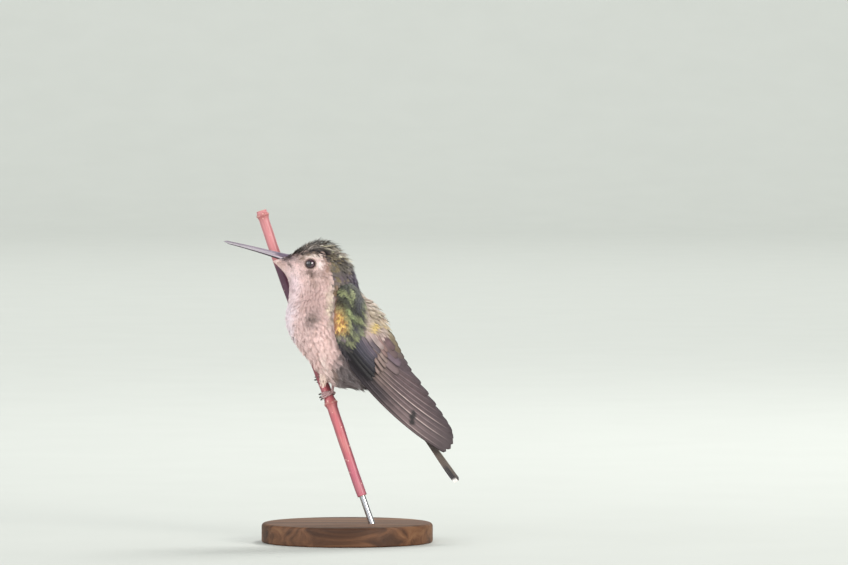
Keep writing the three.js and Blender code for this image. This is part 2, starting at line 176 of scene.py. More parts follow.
def smooth(low, high, value):
    """0 below low, 1 above high, and an even curve between them. Low may be the larger one."""
    share = np.clip((np.asarray(value, float) - low) / (high - low), 0, 1)
    return share * share * (3 - 2 * share)


def unit(vectors):
    return vectors / np.maximum(np.linalg.norm(vectors, axis=-1, keepdims=True), 1e-9)


def read(table, t):
    """A table's columns, smoothly read at shares t of the way down its rows."""
    rows = np.asarray(table, float)
    last = len(rows) - 1
    place = np.clip(np.asarray(t, float), 0, 1) * last
    i = np.minimum(place.astype(int), last - 1)
    w = (place - i)[..., None]
    a, b = rows[np.maximum(i - 1, 0)], rows[i]
    c, d = rows[i + 1], rows[np.minimum(i + 2, last)]
    return (2 * b + (c - a) * w + (2 * a - 5 * b + 4 * c - d) * w**2 + (3 * b - a - 3 * c + d) * w**3) / 2


NOISE_WAVES = 8
NOISE_REACH = 3.2  # about as far from 0 as the sum of the waves goes


def noise(points, scale, seed):
    """Smooth noise from -1 to 1 at points, with bumps about scale mm across, as a sum of tilted waves."""
    rng = np.random.default_rng(seed)
    total = np.zeros(len(points))
    for _ in range(NOISE_WAVES):
        wave = unit(rng.normal(size=3)) * (2 * math.pi / scale) * rng.uniform(0.6, 1.3)
        total += np.sin(points @ wave + rng.uniform(0, 2 * math.pi))
    return total / NOISE_REACH


def beside(line, x, z):
    """How far points of the side view lie to the left of a line, in mm. To its right it is negative."""
    line = np.asarray(line, float)
    best = np.full(np.shape(x), 1e9)
    signed = np.zeros(np.shape(x))
    for (ax, az), (bx, bz) in zip(line[:-1], line[1:]):
        dx, dz = bx - ax, bz - az
        share = np.clip(((x - ax) * dx + (z - az) * dz) / (dx * dx + dz * dz), 0, 1)
        away = np.hypot(x - ax - share * dx, z - az - share * dz)
        sign = np.where(dx * (z - az) - dz * (x - ax) >= 0, 1.0, -1.0)
        closer = away < best
        best = np.where(closer, away, best)
        signed = np.where(closer, sign * away, signed)
    return signed


def spot(x, z, centre, size, turn=0.0):
    """A soft round patch in the side view: 1 at its centre, fading out at about its size in mm."""
    dx, dz = x - centre[0], z - centre[1]
    c, s = math.cos(turn), math.sin(turn)
    along, across = dx * c + dz * s, dz * c - dx * s
    return np.exp(-((along / size[0]) ** 2) - (across / size[1]) ** 2)


def bell(value, size):
    """1 where the value is 0, fading out at about the size on both sides."""
    return np.exp(-((value / size) ** 2))


def mix(a, b, share):
    return a + (b - a) * np.asarray(share)[..., None]


def paint(colour, tone, share):
    """A colour with a hex tone over it, as strongly as the share."""
    return mix(colour, linear(tone), share)


def blend(first, second, share):
    """A colour between two hex tones."""
    return mix(linear(first), linear(second), share)


def dabs(colour, x, z, marks):
    """A colour with soft round marks over it, one after another: tone, strength, centre, size and turn."""
    for tone, strength, *place in marks:
        colour = paint(colour, tone, strength * spot(x, z, *place))
    return colour


def turns(steps):
    """Even angles once round."""
    return np.linspace(0, 2 * math.pi, steps, endpoint=False)


def rings(first, second, turn):
    """Points round circles of radius 1 in the planes of two axes, at the given angles from the first."""
    return first[..., None, :] * np.cos(turn)[:, None] + second[..., None, :] * np.sin(turn)[:, None]


# ------------------------------------------------------------
# Meshes


def make_piece(name, points, faces, material, place="bird", uv=None, tint=None, gloss=None, bake=None):
    """An object from points in mm and lists of triangle or quad arrays, with its maps per point."""
    points = np.asarray(points, float).copy()
    if place == "bird":
        points[:, 1] += BIRD_Y
    mesh = bpy.data.meshes.new(name)
    mesh.vertices.add(len(points))
    mesh.vertices.foreach_set("co", (points * MM).astype(np.float32).ravel())
    corners = np.concatenate([np.asarray(f).ravel() for f in faces])
    sizes = np.concatenate([np.full(len(f), np.shape(f)[1]) for f in faces])
    mesh.loops.add(len(corners))
    mesh.loops.foreach_set("vertex_index", corners.astype(np.int32))
    mesh.polygons.add(len(sizes))
    mesh.polygons.foreach_set("loop_start", np.concatenate([[0], np.cumsum(sizes)[:-1]]).astype(np.int32))
    mesh.update(calc_edges=True)
    mesh.polygons.foreach_set("use_smooth", np.ones(len(sizes), bool))
    for title, places in (("surface", uv), ("OFBake", bake)):
        if places is not None:
            layer = mesh.uv_layers.new(name=title)
            layer.data.foreach_set("uv", np.asarray(places)[corners].astype(np.float32).ravel())
    if tint is not None:
        colours = mesh.attributes.new("tint", "FLOAT_COLOR", "POINT")
        padded = np.column_stack([tint, np.ones(len(tint))])
        colours.data.foreach_set("color", padded.astype(np.float32).ravel())
    if gloss is not None:
        values = mesh.attributes.new("gloss", "FLOAT", "POINT")
        values.data.foreach_set("value", np.asarray(gloss).astype(np.float32))
    mesh.materials.append(material)
    mesh.validate()
    piece = bpy.data.objects.new(name, mesh)
    bpy.context.scene.collection.objects.link(piece)
    return piece


def grid_faces(rows, columns):
    """The quads of a grid of points, row by row, joined round its columns."""
    r, c = np.meshgrid(np.arange(rows - 1), np.arange(columns), indexing="ij")
    a = (r * columns + c).ravel()
    b = (r * columns + (c + 1) % columns).ravel()
    return np.column_stack([a, b, b + columns, a + columns])


def tube_faces(rows, columns):
    """A closed grid with a fan at each end. Two more points follow the grid: its first and last centres."""
    ends = rows * columns
    ring = np.arange(columns)
    after = (ring + 1) % columns
    first = np.column_stack([np.full(columns, ends), after, ring])
    last = np.column_stack([np.full(columns, ends + 1), ring + ends - columns, after + ends - columns])
    return [grid_faces(rows, columns), np.vstack([first, last])]


def faced_out(points, faces):
    """The same faces, turned round if they enclose the points inside out."""
    volume = 0.0
    for group in faces:
        for k in range(1, np.shape(group)[1] - 1):
            a, b, c = points[group[:, 0]], points[group[:, k]], points[group[:, k + 1]]
            volume += np.einsum("ij,ij->i", a, np.cross(b, c)).sum()
    return faces if volume > 0 else [np.ascontiguousarray(group[:, ::-1]) for group in faces]


def capped(grid):
    """The points of a grid of rings, rows by columns by 3, with the two end centres after them."""
    flat = grid.reshape(-1, 3)
    return np.vstack([flat, grid[0].mean(0), grid[-1].mean(0)])


def run_along(line):
    """How far each point of a line is from its start, along it."""
    return np.concatenate([[0], np.cumsum(np.linalg.norm(np.diff(line, axis=0), axis=1))])


def path_frames(points, rows, steps=400):
    """Even places along a smooth line through points: centres and two axes square to it."""
    fine = read(points, np.linspace(0, 1, steps))[:, :3]
    run = run_along(fine)
    even = np.interp(np.linspace(0, run[-1], rows), run, np.arange(steps))
    centre = read(fine, even / (steps - 1))
    ahead = unit(np.gradient(centre, axis=0))
    across = np.zeros_like(ahead)
    last = np.array([0.0, 1.0, 0.0])
    for i, direction in enumerate(ahead):
        out = np.cross(direction, last)
        out /= np.linalg.norm(out)
        last = np.cross(out, direction)
        across[i] = last
    return centre, across, np.cross(ahead, across)


def tube(points, radius, rows, columns):
    """A tube's grid along a line of points. Radius is a function of the share of its length."""
    centre, across, out = path_frames(points, rows)
    r = radius(np.linspace(0, 1, rows)[:, None])
    return centre[:, None] + rings(across, out, turns(columns)) * r[..., None]


def grid_uv(rows, columns):
    """Round and along shares for each point of a capped grid."""
    v, u = np.meshgrid(np.linspace(0, 1, rows), np.arange(columns) / columns, indexing="ij")
    return np.vstack([np.column_stack([u.ravel(), v.ravel()]), [[0.5, 0], [0.5, 1]]])


def with_ends(values):
    """The values of a grid's points, and after them those of its two end centres."""
    return np.vstack([values, values[:1], values[-1:]])


class Joined:
    """Several closed meshes with their maps, gathered into one piece."""

    def __init__(self):
        self.points, self.faces, self.maps, self.count = [], [], {}, 0

    def add(self, points, faces, **maps):
        """A closed mesh. Its maps are as for make_piece."""
        self.points.append(points)
        self.faces += [group + self.count for group in faces]
        self.count += len(points)
        for key, values in maps.items():
            self.maps.setdefault(key, []).append(values)

    def add_grid(self, grid, middle=0.0, **maps):
        """A grid of rings with its ends closed. The middle is a place that its faces are turned away from."""
        points = capped(grid)
        self.add(points, faced_out(points - middle, tube_faces(*grid.shape[:2])), **maps)

    def piece(self, name, material, place="bird"):
        maps = {key: np.concatenate(values) for key, values in self.maps.items()}
        return make_piece(name, np.vstack(self.points), self.faces, MATERIALS[material], place, **maps)


# ------------------------------------------------------------
# Materials


# The places of the colour sockets on a mix node: first and second colour in, and the mixed one out.
MIX_FIRST, MIX_SECOND, MIX_COLOUR = 6, 7, 2


def feed(tree, socket, value):
    """Links another node's socket to an input, or sets the input to a number or colour."""
    if isinstance(value, bpy.types.NodeSocket):
        tree.links.new(value, socket)
    else:
        socket.default_value = value


def add(tree, kind, settings=None, **inputs):
    """Adds a node with its settings. Each input is given by name, or as in0, in1 and so on by its place."""
    node = tree.nodes.new(kind)
    for key, value in (settings or {}).items():
        setattr(node, key, value)
    for key, value in inputs.items():
        place = int(key[2:]) if key.startswith("in") else key.replace("_", " ").title()
        feed(tree, node.inputs[place], value)
    return node


def make_material(name, look):
    """A material whose shader's inputs are the sockets and values that look(tree) gives, by their names."""
    material = bpy.data.materials.new(name)
    material.use_nodes = True
    tree = material.node_tree
    tree.nodes.clear()
    shader = add(tree, "ShaderNodeBsdfPrincipled")
    for key, value in look(tree).items():
        feed(tree, shader.inputs[key.replace("_", " ")], value)
    output = add(tree, "ShaderNodeOutputMaterial")
    tree.links.new(shader.outputs["BSDF"], output.inputs["Surface"])
    return material


def ramp(tree, factor, stops):
    """A colour ramp through (place, hex colour) stops."""
    node = add(tree, "ShaderNodeValToRGB", in0=factor)
    elements = node.color_ramp.elements
    while len(elements) < len(stops):
        elements.new(0.5)
    for element, (place, colour) in zip(elements, stops):
        element.position = place
        element.color = rgba(colour)
    return node.outputs["Color"]


def ranged(tree, factor, low, high, first, last):
    """A number from first to last, as the factor goes from low to high."""
    node = add(tree, "ShaderNodeMapRange", in0=factor, in1=low, in2=high, in3=first, in4=last)
    return node.outputs["Result"]


def own_place(tree):
    """The place on the piece, in metres."""
    return add(tree, "ShaderNodeTexCoord").outputs["Object"]


def surface_map(tree):
    """The piece's surface map: across or round, and along."""
    return add(tree, "ShaderNodeUVMap", {"uv_map": "surface"}).outputs["UV"]


def stretch(tree, vector, *scale):
    """A place or map multiplied along each axis, so that what is drawn with it is finer there."""
    return add(tree, "ShaderNodeMapping", vector=vector, scale=scale).outputs["Vector"]


def grain(tree, vector, scale, detail, **more):
    """Soft noise from 0 to 1."""
    return add(tree, "ShaderNodeTexNoise", vector=vector, scale=scale, detail=detail, **more).outputs["Fac"]


def bands(tree, vector, settings=None, **more):
    """Bands across the map's way along, 0.3 of its units apart."""
    kind = {"wave_type": "BANDS", "bands_direction": "Y", **(settings or {})}
    return add(tree, "ShaderNodeTexWave", kind, vector=vector, scale=1.0, **more).outputs["Fac"]


def bump(tree, height, strength, distance):
    """A surface that looks raised by the height, by at most the distance in metres."""
    return add(tree, "ShaderNodeBump", strength=strength, distance=distance, height=height).outputs["Normal"]


def painted(tree, shade):
    """The colours given to the piece's points, made lighter or darker by the shade."""
    tint = add(tree, "ShaderNodeAttribute", {"attribute_name": "tint"})
    colour = add(tree, "ShaderNodeVectorMath", {"operation": "SCALE"}, in0=tint.outputs["Color"])
    tree.links.new(shade, colour.inputs["Scale"])
    return colour.outputs["Vector"]


def feather_look(tree):
    """Contour feather keratin: soft and matt where it is pale, with a silky shine where it is green."""
    gloss = add(tree, "ShaderNodeAttribute", {"attribute_name": "gloss"}).outputs["Fac"]
    mottle = grain(tree, own_place(tree), 900.0, 3.0)
    metal = add(tree, "ShaderNodeMath", {"operation": "MULTIPLY"}, in0=gloss, in1=0.35)
    return dict(
        Base_Color=painted(tree, ranged(tree, mottle, 0.3, 0.7, 0.86, 1.08)),
        Roughness=ranged(tree, gloss, 0.0, 1.0, 0.74, 0.38),
        Metallic=metal.outputs["Value"],
        Sheen_Weight=0.12,
        Sheen_Roughness=0.5,
    )


def flight_look(tree):
    """Flight feather vane: satin dusky keratin, with fine slanting barbs and a smooth pale shaft."""
    # Barbs 0.12 mm apart can't show, so they are drawn 0.3 mm apart.
    barbs = bands(tree, surface_map(tree), distortion=1.2, detail=2.0, detail_scale=1.5)
    return dict(
        Base_Color=painted(tree, ranged(tree, barbs, 0.0, 1.0, 0.86, 1.08)),
        Roughness=0.48,
        Specular_IOR_Level=0.34,
        Normal=bump(tree, barbs, 0.35, 0.00006),
        Sheen_Weight=0.06,
    )


def skin_look(tree):
    """Down-covered skin under the feathers, matt, in the feathers' own colours."""
    down = grain(tree, own_place(tree), 2500.0, 4.0)
    return dict(
        Base_Color=painted(tree, ranged(tree, down, 0.3, 0.7, 0.7, 1.05)),
        Roughness=0.9,
        Normal=bump(tree, down, 0.6, 0.0001),
    )


def bill_look(tree):
    """Bill horn: hard satin keratin, greyish, with fine lengthwise grain."""
    fibres = grain(tree, stretch(tree, surface_map(tree), 24.0, 3.0, 1.0), 2.0, 4.0)
    return dict(
        Base_Color=painted(tree, ranged(tree, fibres, 0.3, 0.7, 0.75, 1.2)),
        Roughness=ranged(tree, fibres, 0.3, 0.7, 0.4, 0.56),
        Specular_IOR_Level=0.34,
        Normal=bump(tree, fibres, 0.25, 0.00004),
    )


def eye_look(tree):
    """Glass eye: black pupil in very dark brown under a wet clear coat."""
    fibres = grain(tree, stretch(tree, surface_map(tree), 40.0, 3.0, 1.0), 1.0, 3.0)
    return dict(
        Base_Color=painted(tree, ranged(tree, fibres, 0.3, 0.7, 0.6, 1.4)),
        Roughness=0.14,
        Coat_Weight=1.0,
        Coat_Roughness=0.04,
        Coat_IOR=1.52,
    )


def foot_look(tree):
    """Scaly bird's foot: thin dusky pink skin in overlapping plates, a little shiny on top of each."""
    plates = bands(tree, surface_map(tree), {"wave_profile": "SAW"}, distortion=0.6, detail=1.0)
    return dict(
        Base_Color=ramp(tree, plates, [(0.0, "#5E4648"), (0.3, "#A07E80"), (1.0, "#D2ADAB")]),
        Roughness=0.42,
        Normal=bump(tree, plates, 0.7, 0.00008),
    )


def claw_look(tree):
    """Claw horn: hard dark keratin, smooth and glossy, paler where it leaves the toe."""
    along = add(tree, "ShaderNodeSeparateXYZ", vector=surface_map(tree))
    colour = ramp(tree, along.outputs["Y"], [(0.0, "#5B4A44"), (0.35, "#2A2220"), (1.0, "#120E0D")])
    return dict(Base_Color=colour, Roughness=0.28)


def bark_look(tree):
    """Young red bark: smooth and waxy, with darker shaded streaks and small pale breathing pores."""
    streaks = grain(tree, stretch(tree, surface_map(tree), 14.0, 9.0, 1.0), 1.0, 5.0)
    cells = add(tree, "ShaderNodeTexVoronoi", vector=own_place(tree), scale=620.0)
    pores = ranged(tree, cells.outputs["Distance"], 0.07, 0.16, 1.0, 0.0)
    colour = add(tree, "ShaderNodeMix", {"data_type": "RGBA"}, in0=pores)
    bark = painted(tree, ranged(tree, streaks, 0.25, 0.75, 0.72, 1.16))
    tree.links.new(bark, colour.inputs[MIX_FIRST])
    colour.inputs[MIX_SECOND].default_value = rgba("#E6B8AC")
    height = add(tree, "ShaderNodeMath", {"operation": "ADD"}, in0=streaks, in1=pores)
    return dict(
        Base_Color=colour.outputs[MIX_COLOUR],
        Roughness=0.42,
        Normal=bump(tree, height.outputs["Value"], 0.4, 0.00008),
    )


def walnut_look(tree):
    """Turned walnut under oil: long dark grain across the disc, satin, with open pores."""
    place = own_place(tree)
    # The grain is long in X and fine across it.
    growth = grain(tree, stretch(tree, place, 14.0, 260.0, 260.0), 1.0, 6.0, distortion=0.9)
    browns = [(0.28, "#2C1A10"), (0.45, "#4E3220"), (0.58, "#6B4830"), (0.75, "#7E5A3D")]
    pores = grain(tree, stretch(tree, place, 160.0, 3800.0, 3800.0), 1.0, 2.0)
    return dict(
        Base_Color=ramp(tree, growth, browns),
        Roughness=ranged(tree, pores, 0.3, 0.7, 0.5, 0.68),
        Specular_IOR_Level=0.3,
        Normal=bump(tree, pores, 0.25, 0.0001),
    )


def steel_look(tree):
    """Drawn stainless wire: bright metal with fine lengthwise draw lines."""
    lines = grain(tree, stretch(tree, surface_map(tree), 60.0, 2.0, 1.0), 1.0, 3.0)
    return dict(
        Base_Color=ramp(tree, lines, [(0.3, "#9A9C9F"), (0.7, "#C9CBCD")]),
        Metallic=1.0,
        Roughness=ranged(tree, lines, 0.3, 0.7, 0.2, 0.36),
    )


MATERIALS = {
    "feather": make_material("contour_feather_keratin", feather_look),
    "flight": make_material("flight_feather_vane", flight_look),
    "skin": make_material("downy_skin", skin_look),
    "bill": make_material("bill_horn", bill_look),
    "eye": make_material("wet_dark_eye", eye_look),
    "foot": make_material("scaly_foot_skin", foot_look),
    "claw": make_material("claw_horn", claw_look),
    "bark": make_material("young_red_bark", bark_look),
    "walnut": make_material("oiled_walnut", walnut_look),
    "steel": make_material("drawn_stainless_wire", steel_look),
}


def keep(piece, slot, *nodes):
    """Rides a finished piece on the model, in place of the nodes that it stands for."""
    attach(piece, "root")
    if nodes:
        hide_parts(*nodes)


# ------------------------------------------------------------
# The stand and the stem


def turned(profile, columns):
    """A grid turned about the Z axis from a profile of radius and height, bottom to top."""
    ring = np.column_stack([np.cos(turns(columns)), np.sin(turns(columns))])
    rows = [np.column_stack([ring * radius, np.full(columns, height)]) for radius, height in profile]
    return np.array(rows)


def solid_piece(name, grid, material, slot, nodes, place="stand", tint=None):
    """A closed piece from a grid of rings, kept in place of its nodes."""
    points = capped(grid)
    faces = faced_out(points, tube_faces(*grid.shape[:2]))
    uv = grid_uv(*grid.shape[:2])
    keep(make_piece(name, points, faces, MATERIALS[material], place, uv=uv, tint=tint), slot, *nodes)


def rounded_edge(radius, height, size, start):
    """A quarter round in a profile: it goes out from the foot, or in to the top."""
    turn = np.linspace(0, math.pi / 2, 10)
    if start == "foot":
        return np.column_stack([radius - size + size * np.sin(turn), height + size - size * np.cos(turn)])
    return np.column_stack([radius - size + size * np.cos(turn), height - size + size * np.sin(turn)])


BASE_RADIUS = 22.0
BASE_HEIGHT = 5.0
base_profile = np.vstack(
    [
        [[1.0, 0.0], [12.0, 0.0]],
        rounded_edge(BASE_RADIUS, 0.0, 0.5, "foot"),
        rounded_edge(BASE_RADIUS, BASE_HEIGHT, 0.9, "top"),
        [[18.0, BASE_HEIGHT], [10.0, BASE_HEIGHT], [3.0, BASE_HEIGHT]],
    ]
)
solid_piece("display_base", turned(base_profile, 144), "walnut", "walnut", ["stand_base"])


def stem_radius(t):
    """The radius of the stem at a share of its length, with its swollen nodes."""
    swell = sum(bell(t - node, STEM_NODE_LENGTH) for node in STEM_NODES)
    return read(STEM, t)[..., 3] + STEM_NODE_SWELL * swell


def stem_frame(t):
    """The stem's centre, upward direction, side towards the viewer and side towards the bird's belly."""
    t = np.asarray(t, float)
    step = 1e-4
    up = unit(read(STEM, t + step)[..., :3] - read(STEM, t - step)[..., :3])
    near = unit(np.array([0.0, -1.0, 0.0]) + up * up[..., 1:2])
    return read(STEM, t)[..., :3], up, near, np.cross(up, near)


CUT_BEVEL = 0.16  # at both ends of the stem


def stem_grid(rows, columns):
    """The stem's bark as rings of points, gently rippled."""
    t = np.linspace(0, 1, rows)
    centre, _, near, belly = stem_frame(np.clip(t, 2e-4, 1 - 2e-4))
    turn = turns(columns)
    close = np.minimum(t, 1 - t)[:, None] * STEM_LENGTH
    cut = CUT_BEVEL * (1 - np.clip(close / CUT_BEVEL, 0, 1)) ** 2
    angle, place = (part.ravel() for part in np.meshgrid(turn, t * STEM_LENGTH))
    ripple = noise(np.column_stack([np.cos(angle) * 1.6, np.sin(angle) * 1.6, place * 0.5]), 2.2, 5)
    radius = stem_radius(t)[:, None] - 0.05 - cut + 0.035 * ripple.reshape(rows, columns)
    # Rings of leaf scars just above and below each node.
    for node in STEM_NODES:
        away = (t - node)[:, None] * STEM_LENGTH
        radius -= 0.12 * bell(away - 0.5, 0.16) + 0.1 * bell(away + 0.55, 0.16)
    return centre[:, None] + rings(belly, near, turn) * radius[..., None]


def stem_tint(grid):
    """Rosy bark, brown and scarred at the nodes, dark where the bird shades it, and pale wood at the cuts.
    The darkening at its sides and where the bird shades it is painted shade.
    """
    rows, columns = grid.shape[:2]
    t = np.repeat(np.linspace(0, 1, rows), columns)
    p = grid.reshape(-1, 3)
    z = p[:, 2]
    colour = blend("#C4686E", "#CB8587", smooth(0.5, 0.95, t))
    colour = paint(colour, "#CF8A84", 0.35 * smooth(0.2, 1.0, noise(p, 6.0, 21)))
    aside = (grid - grid.mean(1, keepdims=True)).reshape(-1, 3) / 1.4
    near = smooth(0.3, -0.3, aside[:, 1])
    colour = paint(colour, "#B06488", 0.3 * smooth(25, 17, z))
    # Painted shade: darker towards the stem's two sides as seen from the front, and more on its right side
    # low down.
    side_shade = smooth(0.3, 0.95, np.abs(aside[:, 0])) + 0.35 * smooth(0.1, 0.8, aside[:, 0]) * smooth(50, 40, z)
    colour = paint(colour, "#6E3A48", (0.62 - 0.32 * smooth(70, 78, z)) * np.minimum(side_shade, 1.35))
    # Painted shade on the side towards the viewer: dark purple behind the throat, and dark red beside the
    # belly and thighs.
    colour = paint(colour, "#42203A", 0.94 * (near * smooth(57.5, 63.0, z) * smooth(72.8, 70.0, z)))
    colour = paint(colour, "#74303A", 0.8 * (near * smooth(39.5, 42.5, z) * smooth(48.5, 46.0, z)))
    for node in STEM_NODES:
        away = (t - node) * STEM_LENGTH
        colour = paint(colour, "#A85F5A", 0.6 * bell(away, 1.1))
        scar = bell(away - 0.1, 0.28) * smooth(-0.2, 0.5, noise(p, 0.9, 22))
        colour = paint(colour, "#DDB9A8", 0.5 * scar)
    colour = paint(colour, "#D9C08E", smooth(0.10, 0.0, np.minimum(t, 1 - t) * STEM_LENGTH))
    return np.vstack([colour, linear("#C9AE7C"), linear("#C9AE7C")])


stem = stem_grid(420, 56)
solid_piece("cut_stem", stem, "bark", "stem_bark", ["perch_stem"], tint=stem_tint(stem))

# The rod goes on from the stem's lower end, straight down into the base.
ROD_RADIUS = 0.8
ROD_FOOT = 2.2
rod_centre, rod_up, rod_near, rod_belly = stem_frame(3e-4)
rod_ring = rings(rod_belly, rod_near, turns(32))
rod_foot = -(rod_centre[2] - ROD_FOOT) / rod_up[2]
rod_places = np.linspace(rod_foot, 4.5, 12)[:, None, None]
rod = rod_centre + rod_up * rod_places + rod_ring * (ROD_RADIUS - 0.01)
solid_piece("stand_wire", rod, "steel", "steel", ["stand_rod"])


# ------------------------------------------------------------
# The bill


def bill_point(along):
    """The line where the two halves of the bill meet, in the middle plane."""
    drop = BILL_SAG * np.maximum(0, along / BILL_LENGTH) ** 2
    c, s = math.cos(BILL_RISE), math.sin(BILL_RISE)
    x = BILL_BASE[0] - along * c - drop * s
    z = BILL_BASE[1] + along * s - drop * c
    return np.stack([x, np.zeros_like(x), z], -1)


def bill_half(upper):
    """One half, a grid with a dome and a flat, with how far along each ring and how high each column is."""
    rows, columns = 120, 40
    way = 1 if upper else -1
    reach = BILL_LENGTH if upper else BILL_LENGTH - 0.5
    along = -BILL_ROOT + (reach + BILL_ROOT) * np.linspace(0, 1, rows) ** 0.9
    taper = np.clip(along / BILL_LENGTH, 0, 1) ** 0.62
    end = np.sqrt(np.maximum(0.03, 1 - smooth(reach - 1.2, reach, along)))
    width = (1.12 - 0.8 * taper) * end
    height = ((1.2 if upper else 1.06) - (0.82 if upper else 0.75) * taper) * end
    centre = bill_point(along)
    up = np.array([math.sin(BILL_RISE), 0.0, math.cos(BILL_RISE)])
    turn = turns(columns)
    dome = turn < math.pi
    # The dome is a little pinched towards its ridge; the flat is drawn in slightly, like a cutting edge.
    across = np.where(dome, np.cos(turn), np.cos(turn) * 0.96)
    lift = np.where(dome, np.maximum(np.sin(turn), 0) ** 0.7, 0.0)
    grid = np.empty((rows, columns, 3))
    side = np.array([0.0, 1.0, 0.0])
    edge = 0.05 * end
    for i in range(rows):
        rise = edge[i] + lift * (height[i] - edge[i])
        grid[i] = centre[i] + side * (across * width[i])[:, None] + up * (way * rise)[:, None]
    if upper:
        # A nostril slit low on each side, under a soft flap.
        slit = bell(along[:, None] - 1.9, 1.25) * bell(lift[None] - 0.42, 0.16)
        grid[..., 1] -= np.sign(grid[..., 1]) * 0.16 * (slit * dome[None])
        groove = bell(lift[None] - 0.34, 0.1) * dome[None] * smooth(14, 6, along)[:, None]
        grid[..., 1] -= np.sign(grid[..., 1]) * 0.035 * groove
    return grid, along, lift


def bill_tint(along, lift, upper):
    """Greyish horn, dark at the base, with a painted highlight as a pale line along the upper half's edge and
    the lower half's edge, and a dark keel below.
    """
    a = np.repeat(along, len(lift))
    h = np.tile(lift, len(along))
    if upper:
        colour = blend("#8E838F", "#776B77", smooth(0.55, 0.9, h))
        # Painted highlight: a pale line along the upper half's edge.
        colour = paint(colour, "#D8CED6", 0.75 * bell(h - 0.1, 0.2) * smooth(17, 9, a))
        colour = paint(colour, "#5C4D60", 0.85 * smooth(4.2, 2.2, a))
        colour = paint(colour, "#3B3B45", 0.35 * smooth(7, 16, a) * smooth(0.3, 0.6, h))
    else:
        # The lower half: pale along the edge where it meets the upper one, as a painted highlight, and darker
        # towards its keel.
        colour = blend("#B8AEB8", "#332A31", smooth(0.3, 0.6, h))
        colour = paint(colour, "#6F5B55", 0.7 * smooth(1.8, -0.5, a))
    return with_ends(colour)


for upper, node in ((True, "bill_upper"), (False, "bill_lower")):
    grid, along, lift = bill_half(upper)
    solid_piece(node + "_horn", grid, "bill", "bill_horn", [node], "bird", tint=bill_tint(along, lift, upper))


# ------------------------------------------------------------
# The eyes


def eye_centre(word):
    """The middle of the eye's node, in mm in the bird's frame."""
    low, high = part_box("eye_" + word)
    return (np.array(low) + np.array(high)) / 2 / MM - np.array([0, BIRD_Y, 0])


def eyeball(word):
    """A ball whose cornea bulges a little, turned outwards, with iris and pupil in its tint."""
    centre, side = eye_centre(word), SIDES[word]
    rows, columns = 72, 64
    tilt = np.linspace(0.03, math.pi - 0.03, rows)
    turn = turns(columns)
    look = unit(np.array([-0.22, side * 1.0, 0.04]))
    up = unit(np.array([0.0, 0.0, 1.0]) - look * look[2])
    fore = np.cross(look, up)
    radius = EYE_RADIUS - 0.1 + 0.09 * bell(tilt, 0.62)
    ring = rings(fore, up, turn)
    ball = look * np.cos(tilt)[:, None, None] + ring * np.sin(tilt)[:, None, None]
    grid = centre + radius[:, None, None] * ball
    t = np.repeat(tilt, columns)
    colour = blend("#120A10", "#432833", smooth(0.46, 0.52, t))
    colour = paint(colour, "#190F15", smooth(0.86, 0.98, t))
    solid_piece("eyeball_" + word, grid, "eye", "eye", ["eye_" + word], "bird", tint=with_ends(colour))


for word in SIDES:
    eyeball(word)


# ------------------------------------------------------------
# Feet


def beside_stem(t, angle, radius, height=0.0):
    """A point beside the stem at an angle from the belly side, towards the viewer."""
    centre, up, near, belly = stem_frame(t)
    return centre + radius * (belly * math.cos(angle) + near * math.sin(angle)) + up * height


def toe_ring(foot):
    """How far the middle line of a toe runs from the stem's."""
    return float(stem_radius(foot["grip"])) + TOE_RADIUS + FINE_GAP


def toe_line(foot, toe, first, last, lift):
    """Points along a toe's way round the stem, between two places in mm from its root, arched by lift."""
    ring = toe_ring(foot)
    places = []
    for t in np.linspace(0, 1, 12):
        run = first + (last - first) * t
        angle = foot["way"] * (math.radians(foot["sole"]) + toe["way"] * run / ring)
        height = -toe["spread"] * math.sqrt(max(run, 0) / (toe["length"] + CLAW_LENGTH))
        places.append(beside_stem(foot["grip"], angle, ring + lift * math.sin(math.pi * t), height))
    return places


def toe_radius(t):
    """Swollen at its joints, a little thinner towards the claw, and rounded off at both ends."""
    joints = 1 + 0.09 * np.cos(6 * math.pi * t) - 0.12 * t
    return (TOE_RADIUS - 0.02) * joints * np.sqrt(np.clip(1.0 - (2 * t - 1) ** 10, 0.15, 1))


def leg_piece(word):
    """The bare foot: a thin shank, and four toes with swollen joints round the stem, all in scaly skin."""
    foot = FEET[word]
    heel = beside_stem(foot["grip"], foot["way"] * math.radians(foot["sole"]), toe_ring(foot) + 0.15)
    hip = np.array(foot["hip"])
    knee = (heel + hip) / 2 + np.array([0.25, 0, -0.1])
    joined = Joined()
    shank = tube([heel, knee, hip], lambda t: TARSUS_RADIUS - 0.03 + 0.08 * t, 40, 20)
    # Each part's map is round and along, in mm.
    joined.add_grid(shank, uv=grid_uv(40, 20) * [2.6, 4.0])
    for toe in TOES.values():
        body = tube(toe_line(foot, toe, -0.15, toe["length"], 0.0), toe_radius, 48, 18)
        joined.add_grid(body, uv=grid_uv(48, 18) * [2.2, toe["length"]])
    keep(joined.piece("bare_foot_" + word, "foot", "stand"), "leg_skin", "leg_" + word)


def claw_piece(word, name):
    """A tapering, arched claw that goes on from the end of its toe."""
    foot, toe = FEET[word], TOES[name]
    line = toe_line(foot, toe, toe["length"] - 0.15, toe["length"] + CLAW_LENGTH - 0.02, 0.35)
    grid = tube(line, lambda t: 0.27 - 0.24 * t**1.2, 28, 16)
    solid_piece(f"claw_{word}_{name}_horn", grid, "claw", "claw_horn", [f"claw_{word}_{name}"])


for word in SIDES:
    leg_piece(word)
    for name in TOES:
        claw_piece(word, name)


# ------------------------------------------------------------
# Surfaces that feathers grow on


